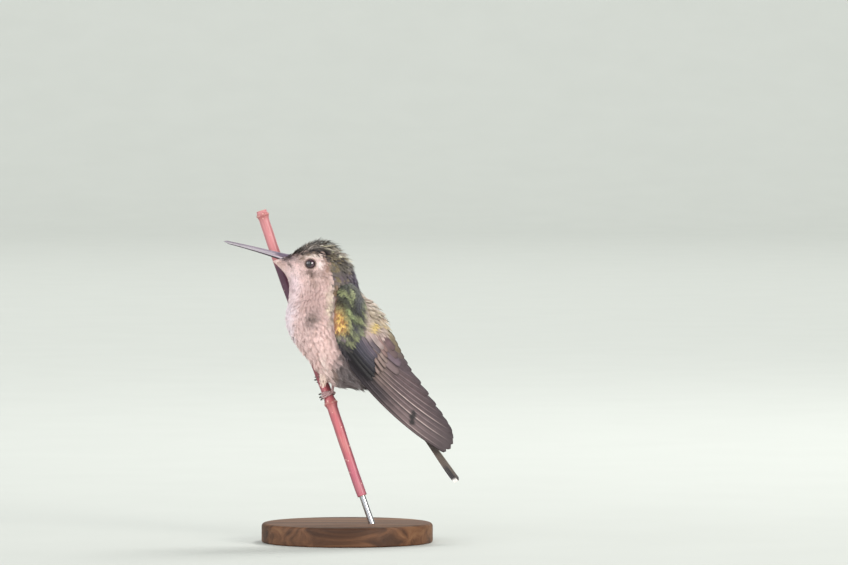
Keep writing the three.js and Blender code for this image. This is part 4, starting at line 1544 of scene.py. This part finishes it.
def blade(
    path, outer, inner, place, level, thickness, shaft, rows=46, columns=13, round_tip=0.05, slant_tip=0.24
):
    """One closed, thin, flat feather. path, outer and inner give its line and the widths of its two vanes.

    place(points in the plane of the vanes, height) puts it in the model. It returns the grid, and for each
    point of it the share of its vane, the places along and across in mm, and the share of its length.
    """
    t = np.linspace(0, 1, rows)
    line = read(path, t)
    ahead = unit(np.gradient(line, axis=0))
    across = np.column_stack([-ahead[:, 1], ahead[:, 0]])
    # Columns crowd towards the shaft, to draw it thin.
    aside = np.linspace(0, 1, (columns + 1) // 2) ** 2.2
    shares = np.concatenate([-aside[::-1], aside[1:]])
    # The outer vane is rounded at its very end, and the inner one is cut back at a slant.
    blunt = np.sqrt(np.clip(1 - np.clip((t - 1 + round_tip) / round_tip, 0, 1) ** 2, 0.0008, 1))
    slanted = np.clip((1 - t) / slant_tip, 0, 1) ** 0.8 * 0.97 + 0.03
    root = smooth(-0.02, 0.1, t) * 0.85 + 0.15
    outer_width = (outer(t) * blunt * root)[:, None]
    inner_width = (inner(t) * blunt * slanted * root)[:, None]
    widths = np.where(shares[None] < 0, outer_width, inner_width)
    aside = widths * shares[None]
    flat = line[:, None] + across[:, None] * aside[..., None]
    edge = np.sqrt(np.clip(1 - np.abs(shares) ** 3, 0.06, 1))[None]
    ridge = shaft * bell(aside, 0.1) * (1 - 0.75 * t)[:, None]
    camber = -0.10 * shares[None] ** 2 * np.minimum(widths, 1.2)
    height = level(t)[:, None] + camber
    top = place(flat, height + thickness / 2 * edge + ridge)
    under = place(flat, height - thickness / 2 * edge - 0.3 * ridge)[:, ::-1]
    grid = np.concatenate([top, under], axis=1)
    share = np.concatenate([np.tile(shares, (rows, 1)), np.tile(shares[::-1], (rows, 1))], axis=1)
    along = np.repeat(run_along(line)[:, None], 2 * columns, 1)
    wide = np.concatenate([aside, aside[:, ::-1]], axis=1)
    return grid, share, along, wide, np.repeat(t[:, None], 2 * columns, 1)


def add_blade(joined, built, tint, index, total):
    """Adds a feather to a piece. The bake map has a strip for each of the piece's feathers."""
    grid, share, along, wide, t = built
    rows, columns = grid.shape[:2]
    # Barbs leave the shaft at a slant and fan out towards the edge.
    slant = np.column_stack([wide.ravel(), along.ravel() - 1.1 * np.abs(wide.ravel())])
    around = np.tile(np.arange(columns) / columns, rows)
    strip = np.column_stack([(index + 0.06 + 0.88 * around) / total, 0.01 + 0.98 * t.ravel()])
    middle = (index + 0.5) / total
    joined.add_grid(
        grid,
        capped(grid).mean(0),
        tint=with_ends(tint(grid.reshape(-1, 3), share.ravel(), t.ravel(), wide.ravel())),
        uv=with_ends(slant),
        bake=np.vstack([strip, [[middle, 0.005]], [[middle, 0.995]]]),
    )


# Where the primaries end, in the side view. The first is the innermost.
PRIMARY_TIPS = [
    (19.0, 41.0), (21.0, 38.2), (22.9, 35.4), (24.6, 32.8), (26.0, 30.5),
    (27.0, 28.6), (27.3, 27.0), (27.2, 25.6), (26.6, 24.4), (25.4, 23.7),
]
# How pale each primary's shaft is, as its paler keratin and on some a painted highlight, and over what share
# of its length its inner vane is cut back.
SHAFT_SHINE = [0.0, 0.15, 0.05, 0.35, 0.15, 1.0, 0.2, 0.95, 0.15, 0.6]
TIP_SLANTS = [0.46, 0.44, 0.42, 0.36, 0.28, 0.2, 0.14, 0.1, 0.08, 0.1]
SLATE, SLATE_EDGE = "#35323D", "#82808C"
TAN, TAN_EDGE = "#8F7A74", "#AE9A92"
# The first of the feathers below are secondaries, and those from there up to the second number are outlined.
SECONDARIES, OUTLINED_END = 7, 17
# Secondaries, then the greater coverts over them and the primary coverts below: where each starts and ends,
# the widths of its vanes, its height over the wing's middle layer, and its main and edge colours.
UPPER_FEATHERS = [
    ((6.2, 50.4), (17.6, 42.6), 1.0, 1.1, 0.44, "#54454A", "#75635F"),
    ((6.6, 51.2), (16.6, 44.3), 1.0, 1.1, 0.47, "#54454A", "#75635F"),
    ((7.0, 52.0), (15.6, 46.0), 1.0, 1.1, 0.50, "#56474B", "#75635F"),
    ((7.4, 52.8), (14.7, 47.6), 0.9, 1.1, 0.53, "#635551", "#857464"),
    ((7.8, 53.6), (13.9, 49.2), 0.9, 1.1, 0.56, "#70624F", "#8F8168"),
    ((8.2, 54.4), (13.1, 50.8), 0.8, 1.0, 0.59, "#7A6C57", "#9A8C72"),
    ((8.5, 55.2), (12.4, 52.3), 0.8, 0.9, 0.62, "#85775F", "#A3957A"),
    ((6.0, 51.0), (13.4, 43.6), 0.95, 1.05, 0.60, "#7C696A", "#948280"),
    ((7.2, 52.4), (13.9, 45.6), 0.9, 1.0, 0.64, "#6E5D66", "#8B7A80"),
    ((8.2, 53.8), (12.9, 47.6), 0.85, 0.95, 0.68, "#6C5859", "#8A7774"),
    ((8.6, 54.8), (12.2, 49.6), 0.8, 0.9, 0.74, "#6C5558", "#8A7774"),
    ((4.4, 50.6), (8.4, 43.5), 0.42, 0.5, 0.70, TAN, TAN_EDGE),
    ((5.0, 51.6), (9.5, 44.2), 0.46, 0.5, 0.74, TAN, TAN_EDGE),
    ((5.6, 52.4), (10.1, 45.2), 0.46, 0.5, 0.78, TAN, TAN_EDGE),
    ((6.2, 53.0), (10.5, 46.4), 0.46, 0.5, 0.82, "#95807A", TAN_EDGE),
    ((6.8, 53.8), (10.5, 47.8), 0.46, 0.5, 0.86, "#8B706C", "#A78C86"),
    ((7.4, 54.4), (10.5, 49.2), 0.5, 0.55, 0.90, "#8B706C", "#A78C86"),
    # The primary coverts: the lowest are near black, their dusky colour deepened as painted shade.
    ((-0.6, 51.0), (6.6, 41.9), 0.5, 0.7, 0.70, "#0E0B10", "#241F26"),
    ((0.2, 51.4), (7.2, 42.9), 0.5, 0.7, 0.76, "#100D13", "#282329"),
    ((1.0, 51.8), (7.4, 44.1), 0.5, 0.65, 0.82, "#1C1922", "#474352"),
    ((1.7, 52.1), (7.3, 45.4), 0.45, 0.6, 0.88, SLATE, SLATE_EDGE),
    ((2.3, 52.4), (7.1, 46.6), 0.45, 0.6, 0.94, SLATE, SLATE_EDGE),
    ((3.0, 53.0), (7.2, 47.5), 0.5, 0.65, 1.0, "#46404C", "#8E8894"),
    ((3.9, 53.6), (7.9, 47.9), 0.45, 0.55, 1.04, "#544A56", "#B4A7B2"),
    ((4.9, 54.2), (8.6, 49.0), 0.5, 0.6, 1.06, "#5E535A", "#BDAFB6"),
    ((5.8, 54.8), (9.4, 50.0), 0.55, 0.65, 1.08, "#A08D8A", "#CFBEB6"),
]


def vane_tint(main, dark, edge, shaft, fringe, start, line=0.0, rim=0.0):
    """Colours of one flight feather: main vane, dark towards its tip and, as painted shade, on its inner vane
    under the next feather; pale edge and shaft.

    start is the colour of its covered end. fringe, line and rim are how strongly the pale edge, a painted
    shadow below the shaft and a dark outline show. Painted shadow also falls along the wing's lower edge and
    on a patch across two feathers, and some shafts carry a painted highlight.
    """

    def tint(points, share, t, wide):
        x, z = points[:, 0], points[:, 2]
        colour = mix(mix(start, main, smooth(0.15, 0.5, t)), dark, 0.85 * smooth(0.6, 1.0, t))
        # Painted shade on the inner vane, which lies under the next feather.
        colour = mix(colour, dark, 0.4 * smooth(0.15, 0.9, share))
        colour = mix(colour, edge, smooth(0.7, 1.0, np.abs(share)) * smooth(0.0, -0.1, share) * fringe)
        # Painted shadow along the wing's lower edge.
        colour = paint(colour, "#2B242A", 0.75 * spot(x, z, (8.0, 38.9), (5.5, 1.4), -0.83))
        # Painted shadow: a dark line below the shaft.
        below = np.minimum(line * (1 + 0.8 * smooth(16.0, 11.0, x)), 1.0)
        below = below * bell(wide + 0.26, 0.17) * smooth(1.0, 0.7, t)
        colour = mix(colour, dark * 0.45, below)
        # The pale shaft, lit on some primaries as a painted highlight, and only out towards the wing's end.
        shine = bell(wide, 0.07) * smooth(0.96, 0.7, t) * smooth(10.5, 15.0, x + 0.4 * (z - 37))
        colour = mix(colour, shaft, shine)
        outline = np.maximum(smooth(0.5, 0.95, np.abs(share)), smooth(0.9, 0.99, t))
        colour = mix(colour, dark * 0.45, rim * outline)
        # Painted shadow: a dark patch across two feathers.
        shadow_patch = spot(x, z, (17.0, 33.1), (0.7, 1.2), -0.2) + spot(x, z, (16.6, 31.5), (0.7, 1.0), -0.2)
        colour = mix(colour, dark * 0.3, 0.95 * smooth(0.3, 0.5, shadow_patch))
        return colour * (1 + 0.09 * noise(points, 2.4, 61))[:, None]

    return tint


def bowed(start, tip, sag):
    """A feather's line from start to tip, bowed aside by sag mm in the middle."""
    start, tip = np.array(start, float), np.array(tip, float)
    chord = tip - start
    aside = unit(np.array([chord[1], -chord[0]])) * sag
    return np.array([start + chord * k + aside * 4 * k * (1 - k) for k in (0, 0.25, 0.5, 0.75, 1)])


def folded_wing(word):
    """The primaries, and over them the secondaries and the large coverts, in one piece."""
    side = SIDES[word]

    def place(flat, height):
        x, z = flat[..., 0], flat[..., 1]
        return np.stack([x, side * (wing_y(x, z) + height), z], -1)

    wing = Joined()
    primaries = len(PRIMARY_TIPS)
    total = primaries + len(UPPER_FEATHERS)
    for i, tip in enumerate(PRIMARY_TIPS):
        share = i / (primaries - 1)
        start = (7.0 + (0.4 - 7.0) * share, 50.0 + (47.6 - 50.0) * share)
        path = bowed(start, tip, 0.3 + 1.5 * share)

        def outer(t, share=share):
            return (1.15 - 0.1 * share) * (1 - 0.3 * t)

        def inner(t, share=share):
            return (1.75 + 1.1 * share) * (1 - 0.15 * smooth(0.5, 1, t))

        def level(t, i=i):
            return 0.42 - 0.085 * i * (1 - 0.5 * smooth(0.3, 1.0, t)) - 0.25 * smooth(0.35, 0.0, t)

        main = blend("#574547", "#6F5D5D", smooth(0.4, 0.9, share))
        dark = blend("#3C2F34", "#2E2529", share)
        shaft = blend("#66545A", "#C9B5B0", SHAFT_SHINE[i])
        # The covered ends of the outer primaries are dark: painted shade over their dusky colour.
        start = blend("#85726C", "#2B242A", smooth(0.6, 0.85, share))
        # The painted shadow below the shaft is stronger where the shaft is lit.
        line = 0.25 + 0.65 * SHAFT_SHINE[i]
        # The outermost primary has a dark edge.
        outermost = i == primaries - 1
        edge, fringe = (linear("#241D21"), 0.9) if outermost else (paint(main, "#8E7A76", 0.4), 0.25)
        tint = vane_tint(main, dark, edge, shaft, fringe, start, line)
        built = blade(path, outer, inner, place, level, 0.075, 0.075, slant_tip=TIP_SLANTS[i])
        add_blade(wing, built, tint, i, total)
    for i, (start, tip, outer_width, inner_width, lift, main, edge) in enumerate(UPPER_FEATHERS):
        path = bowed(start, tip, 0.25)

        def outer(t, width=outer_width):
            return width * (1 - 0.1 * t)

        def inner(t, width=inner_width):
            return width

        def level(t, lift=lift):
            return lift - 0.35 * smooth(0.45, 0.0, t)

        if i < SECONDARIES:
            fringe, rim, slant = 0.2, 0.0, 0.34
        elif i < OUTLINED_END:
            fringe, rim, slant = 0.0, 0.85, 0.1
        else:
            fringe, rim, slant = 0.6, 0.0, 0.1
        main = linear(main)
        covered = paint(main, "#BFA7A2", 0.8 * smooth(3.5, 5.0, start[0]))
        tint = vane_tint(main, main * 0.7, linear(edge), main * 0.8, fringe, covered, 0.0, rim)
        built = blade(path, outer, inner, place, level, 0.07, 0.03, 30, 11, 0.14, slant)
        add_blade(wing, built, tint, primaries + i, total)
    keep(wing.piece(f"wing_{word}_flight_vanes", "flight"), "flight_feathers", f"wing_{word}_flight")


# Dark seams of the wing's coverts: two that part the rows of green feathers, and one behind the gold ones.
SEAMS = [
    [(-2.4, 62.6), (-0.6, 61.4), (0.2, 59.6), (1.6, 57.6), (3.4, 56.0), (5.2, 54.2)],
    [(-0.2, 55.8), (1.0, 53.6), (1.9, 51.6), (3.2, 50.0)],
    [(0.4, 64.4), (1.6, 62.4), (2.4, 60.0), (3.8, 58.2)],
]


def wing_plumage(points):
    """The markings of the folded wing's coverts: main colour, fringe colour and shine."""
    x, z = points[:, 0], points[:, 2]
    fine = noise(points, 1.2, 71)
    # Green feathers lie in slanting bands, bright at the edge and dark in the middle.
    band = np.stack([(z + 1.6 * x) / 1.89 / 1.15, (1.6 * z - x) / 1.89 / 3.2, points[:, 1] * 0.3], -1)
    stripe = smooth(-0.15, 0.3, noise(band * 1.9, 2.6, 72))
    green = blend("#3F4038", "#91976C", stripe)
    main = paint(green, "#403E4B", 0.85 * spot(x, z, (3.7, 61.2), (1.3, 4.4), -0.35))
    main = paint(main, "#454350", 0.7 * spot(x, z, (3.3, 54.8), (1.9, 1.5), 0.0))
    main = paint(main, "#43403A", 0.5 * spot(x, z, (0.4, 60.3), (1.5, 1.4)))
    for seam in SEAMS:
        main = paint(main, "#1D1B1D", 0.8 * bell(beside(seam, x, z), 0.32))
    main = paint(main, "#A9B680", 0.85 * spot(x, z, (1.4, 58.9), (2.1, 0.5), -0.95))
    main = paint(main, "#8E7C84", 0.8 * spot(x, z, (-1.0, 52.7), (1.6, 0.8), -0.3))
    gold = np.clip(spot(x, z, (-1.6, 56.8), (1.4, 2.9), 0.05) * 1.5, 0, 1) * smooth(53.2, 54.4, z)
    cells = noise(points, 1.0, 75)
    main = paint(main, "#B47C48", gold)
    main = paint(main, "#EDC46C", gold * smooth(-0.5, 0.2, cells) * smooth(61.5, 58.0, z))
    main = paint(main, "#6B3A32", 0.9 * spot(x, z, (-2.9, 53.7), (0.7, 0.6)))
    rufous = smooth(-1.9, -2.5, x + 0.2 * fine) * smooth(53.0, 55.0, z)
    main = paint(main, "#A5694C", 0.9 * rufous)
    # Darker low on the coverts: their dusky colour, deepened by painted shade.
    dusky_and_shaded = smooth(53.2, 50.6, z + 0.45 * np.minimum(x, 6.0) + 0.5 * fine)
    main = paint(main, "#2A242A", dusky_and_shaded)
    patch = 0.85 * spot(x, z, (2.6, 51.8), (1.9, 1.9), -0.9) * smooth(-0.6, 0.6, noise(band * 2.6, 2.4, 73))
    main = paint(main, "#989D70", patch)
    brown = smooth(4.2, 5.6, x - 0.1 * (z - 57)) * smooth(46.5, 49.5, z)
    main = mix(main, blend("#BEA7A2", "#BFAC9F", smooth(53.0, 56.0, z)), 0.9 * brown)
    main = paint(main, "#988A72", 0.85 * spot(x, z, (10.6, 54.8), (2.6, 1.2), -0.96))
    # Painted sheen: a gold spot on the bronze feathers over the back.
    main = paint(main, "#E0C468", 0.9 * spot(x, z, (7.3, 55.4), (1.0, 2.0), -0.5))
    tip = paint(main, "#A7AE7A", 0.7 * (1 - dusky_and_shaded) * (1 - brown) * (0.35 + 0.65 * stripe))
    # Painted glints: pale yellow tips on some of the gold coverts.
    tip = paint(tip, "#FFE8A4", gold * smooth(-0.8, -0.2, cells))
    tip = paint(tip, "#C4B2A4", 0.55 * brown * smooth(10.0, 8.0, x))
    tip = paint(tip, "#4B4048", 0.6 * dusky_and_shaded * (1 - brown))
    tip = paint(tip, "#C99C80", 0.7 * rufous)
    return main, tip, 0.1 + 0.5 * ((1 - dusky_and_shaded) * (1 - brown) * (1 - rufous))


def wing_feather_length(points):
    """Small over the shoulder, then in longer and longer rows down to the greater coverts."""
    x, z = points[:, 0], points[:, 2]
    run = 0.52 * x - 0.85 * (z - 66)
    return 1.35 + 1.9 * smooth(8.0, 21.0, run)


COVERTS_END = 0.37  # how far down the wing the coat of small feathers can grow
COVERT_LIE = np.array([0.5, 0.0, -0.86])  # the way that they point
# Their tips all end in front of this line.
COVERT_EDGE = [(8.0, 39.5), (5.6, 43.0), (5.8, 46.5), (8.6, 50.5), (11.5, 53.0), (14.5, 56.0)]


def covert_sheet(word):
    """The skin of the folded arm, 0.42 mm inside the wing's outline."""
    s, angle = np.meshgrid(np.linspace(0, COVERTS_END, 130), turns(160), indexing="ij")
    return Sheet(wing_ring(s, angle, SIDES[word], 0.42), closed=True)


def wing_look(points, rng):
    """The lie and colours of the wing's small coverts."""
    count = len(points)
    length = wing_feather_length(points) * rng.uniform(0.92, 1.08, count)
    # A feather is coloured by the place that its middle covers.
    main, tip, gloss = wing_plumage(points + COVERT_LIE * length[:, None] * 0.6)
    bright = rng.uniform(0.76, 1.2, count)[:, None]
    return {
        "length": length,
        "width": length * rng.uniform(0.30, 0.36, count) * (1 - 0.12 * smooth(1.5, 3, length)),
        "lift": rng.uniform(0.32, 0.46, count),
        "root": np.full(count, -0.05),
        "curl": rng.normal(0, 0.01, count),
        "bow": rng.normal(0, 0.05, count),
        "lean": 0.1 * noise(points, 3.0, 74) + rng.normal(0, 0.07, count),
        "base": main * mix(0.35, 0.7, smooth(4.0, 5.5, points[:, 0])) * bright,
        "main": main * bright,
        "tip": tip * bright,
        "edge": np.full(count, 0.38),
        "gloss": gloss * rng.uniform(0.5, 1.1, count),
    }


def wing_coverts(word, seed):
    """The folded arm's skin and its coat of small feathers."""
    sheet = covert_sheet(word)
    grid = sheet.points
    points = capped(grid)
    arm = Joined()
    # The skin takes the coverts' colours, darkened as painted shade under them.
    arm.add_grid(grid, points.mean(0), uv=grid_uv(*grid.shape[:2]), tint=wing_plumage(points)[0] * 0.6)
    keep(arm.piece(f"wing_{word}_arm", "skin"), "wing_coverts", f"wing_{word}_coverts")

    def outside(points, t, u):
        tips = points + COVERT_LIE * wing_feather_length(points)[:, None]
        return ((u < 0.53) | (u > 0.965)) & (beside(COVERT_EDGE, tips[:, 0], tips[:, 2]) > 0)

    def spacing(points):
        return 0.27 * wing_feather_length(points) + 0.04

    def covert_map(t, u):
        return np.column_stack([0.01 + 0.98 * u, 0.01 + 0.97 * t])

    roots = scatter(sheet, spacing, outside, 60000, seed)
    plumes(f"coat_wing_{word}", "wing_coverts", sheet, roots, 9, wing_look, covert_map, seed)


for word, seed in (("left", 81), ("right", 82)):
    folded_wing(word)
    wing_coverts(word, seed)


# ------------------------------------------------------------
# The tail

TAIL_PAIRS = 5


def tail_place(line):
    """A function that bends a flat feather along the tail's middle line and arches it down at its sides."""
    run = run_along(line[:, :2])
    slope = unit(line[-1, :2] - line[0, :2])

    def place(flat, height):
        along = np.clip(flat[..., 0], 0, run[-1])
        past = flat[..., 0] - along
        lift = height - 1.2 * np.clip(np.abs(flat[..., 1]) / 4.3, 0, 1) ** 2
        x = np.interp(along, run, line[:, 0]) + slope[0] * past - slope[1] * lift
        z = np.interp(along, run, line[:, 1]) + slope[1] * past + slope[0] * lift
        return np.stack([x, flat[..., 1], z], -1)

    return place


def tail_tint(share):
    """Colours of a tail feather: share 0 is the middle pair. Outer ones have a dark band and white tips."""
    green = blend("#4E4636", "#503F38", share)

    def tint(points, vane_share, t, wide):
        colour = paint(green, "#584C44", 0.2 * smooth(0.2, 0.7, t) * share + 0.8)
        if share > 0.4:
            colour = paint(colour, "#241E22", smooth(0.62, 0.7, t))
            colour = paint(colour, "#E9E4DF", smooth(0.86, 0.9, t + 0.01 * noise(points, 0.7, 91)))
        else:
            colour = paint(colour, "#2F2A2C", 0.8 * smooth(0.75, 0.95, t))
        return paint(colour, "#86796C", 0.8 * bell(wide, 0.12) * smooth(0.9, 0.7, t))

    return tint


def tail_feathers():
    """Five pairs of feathers, from the middle pair on top to the outer pair below."""
    tail = Joined()
    for pair in range(TAIL_PAIRS):
        share = pair / (TAIL_PAIRS - 1)
        end = 1.0 - 0.05 * share if pair else 0.93
        line = read(TAIL, np.linspace(0, end, 8))
        widths = [0.95 - 0.25 * share, 1.15 + 0.1 * share]
        for side in SIDES.values():
            path = np.column_stack([run_along(line[:, :2]), side * (line[:, 2] * (0.12 + 0.66 * share))])
            outer, inner = (lambda t, width=width: width for width in widths[::-side])
            level = lambda t, height=0.34 - 0.13 * pair + 0.03 * side: np.full_like(t, height)
            built = blade(path, outer, inner, tail_place(line), level, 0.08, 0.06, rows=40)
            add_blade(tail, built, tail_tint(share), 2 * pair + (side > 0), 2 * TAIL_PAIRS)
    keep(tail.piece("tail_vanes", "flight"), "flight_feathers", "tail")


tail_feathers()


# ------------------------------------------------------------
# Floor, light and camera

# Where the camera aims, how wide its view is there, how far off it stands, and from how high it looks down.
VIEW_CENTRE = Vector((0.01974, BIRD_Y * MM, 0.0668))
VIEW_WIDTH = 0.2174
VIEW_DISTANCE = 1.85
VIEW_RISE = math.radians(2)


def paper_look(tree):
    """Studio paper: matt pale grey, very slightly mottled."""
    fibre = grain(tree, own_place(tree), 30.0, 3.0)
    return dict(Base_Color=ramp(tree, fibre, [(0.3, "#BFC2BC"), (0.7, "#C1C4BE")]), Roughness=0.9)


def stage():
    """A pale floor that curves up into a plain backdrop."""
    material = make_material("matt_studio_paper", paper_look)
    bend, back = 1.2, 2.8
    curve = [(back + bend * math.sin(a), bend * (1 - math.cos(a))) for a in np.linspace(0, math.pi / 2, 24)]
    profile = [(-7.0, 0.0), *curve, (back + bend, 5.0)]
    points = [(x, y, z) for y, z in profile for x in (-6.0, 6.0)]
    faces = [np.array([[2 * i, 2 * i + 1, 2 * i + 3, 2 * i + 2] for i in range(len(profile) - 1)])]
    make_piece("studio_floor", np.array(points) / MM, faces, material, "stand")


def lamp(name, place, size, power, colour="#FFFFFF", aim=VIEW_CENTRE):
    """A round lamp. Place, size and aim are in metres, and its power is in watts."""
    light = bpy.data.lights.new(name, "AREA")
    light.shape = "DISK"
    light.size = size
    light.energy = power
    light.color = tuple(linear(colour))
    lamp_object = bpy.data.objects.new(name, light)
    lamp_object.location = place
    lamp_object.rotation_euler = (aim - Vector(place)).to_track_quat("-Z", "Y").to_euler()
    bpy.context.scene.collection.objects.link(lamp_object)


def camera():
    """Looks at the bird's left side from a little above."""
    data = bpy.data.cameras.new("camera")
    data.lens = data.sensor_width * VIEW_DISTANCE / VIEW_WIDTH
    data.clip_end = 20
    view = bpy.data.objects.new("camera", data)
    view.location = VIEW_CENTRE + Vector((0, -math.cos(VIEW_RISE), math.sin(VIEW_RISE))) * VIEW_DISTANCE
    view.rotation_euler = (math.pi / 2 - VIEW_RISE, 0, 0)
    bpy.context.scene.collection.objects.link(view)
    bpy.context.scene.camera = view


stage()
lamp("key", (0.92, -0.95, 0.42), 0.68, 14.5, "#FFFBF6")
lamp("fill", (-0.9, -1.5, 0.7), 2.2, 20.0, "#F8F9FF")
lamp("side", (-1.2, -0.3, 0.4), 0.9, 6.5)
lamp("rim", (0.35, 0.45, 0.75), 0.4, 4.5)
lamp("backdrop", (0.0, 1.2, 2.6), 2.0, 88.0, aim=Vector((0.0, 4.0, 0.6)))
camera()

world = bpy.data.worlds.new("studio")
bpy.context.scene.world = world
world.use_nodes = True
sky = world.node_tree
background = sky.nodes["Background"]
background.inputs["Color"].default_value = rgba("#EEF2F2")
# Past the floor the room looks as pale as the floor, though it lights the bird only softly.
rays = add(sky, "ShaderNodeLightPath")
seen = add(sky, "ShaderNodeMapRange", in0=rays.outputs["Is Camera Ray"], in1=0.0, in2=1.0, in3=0.45, in4=0.8)
sky.links.new(seen.outputs["Result"], background.inputs["Strength"])
bpy.context.scene.view_settings.view_transform = "Standard"
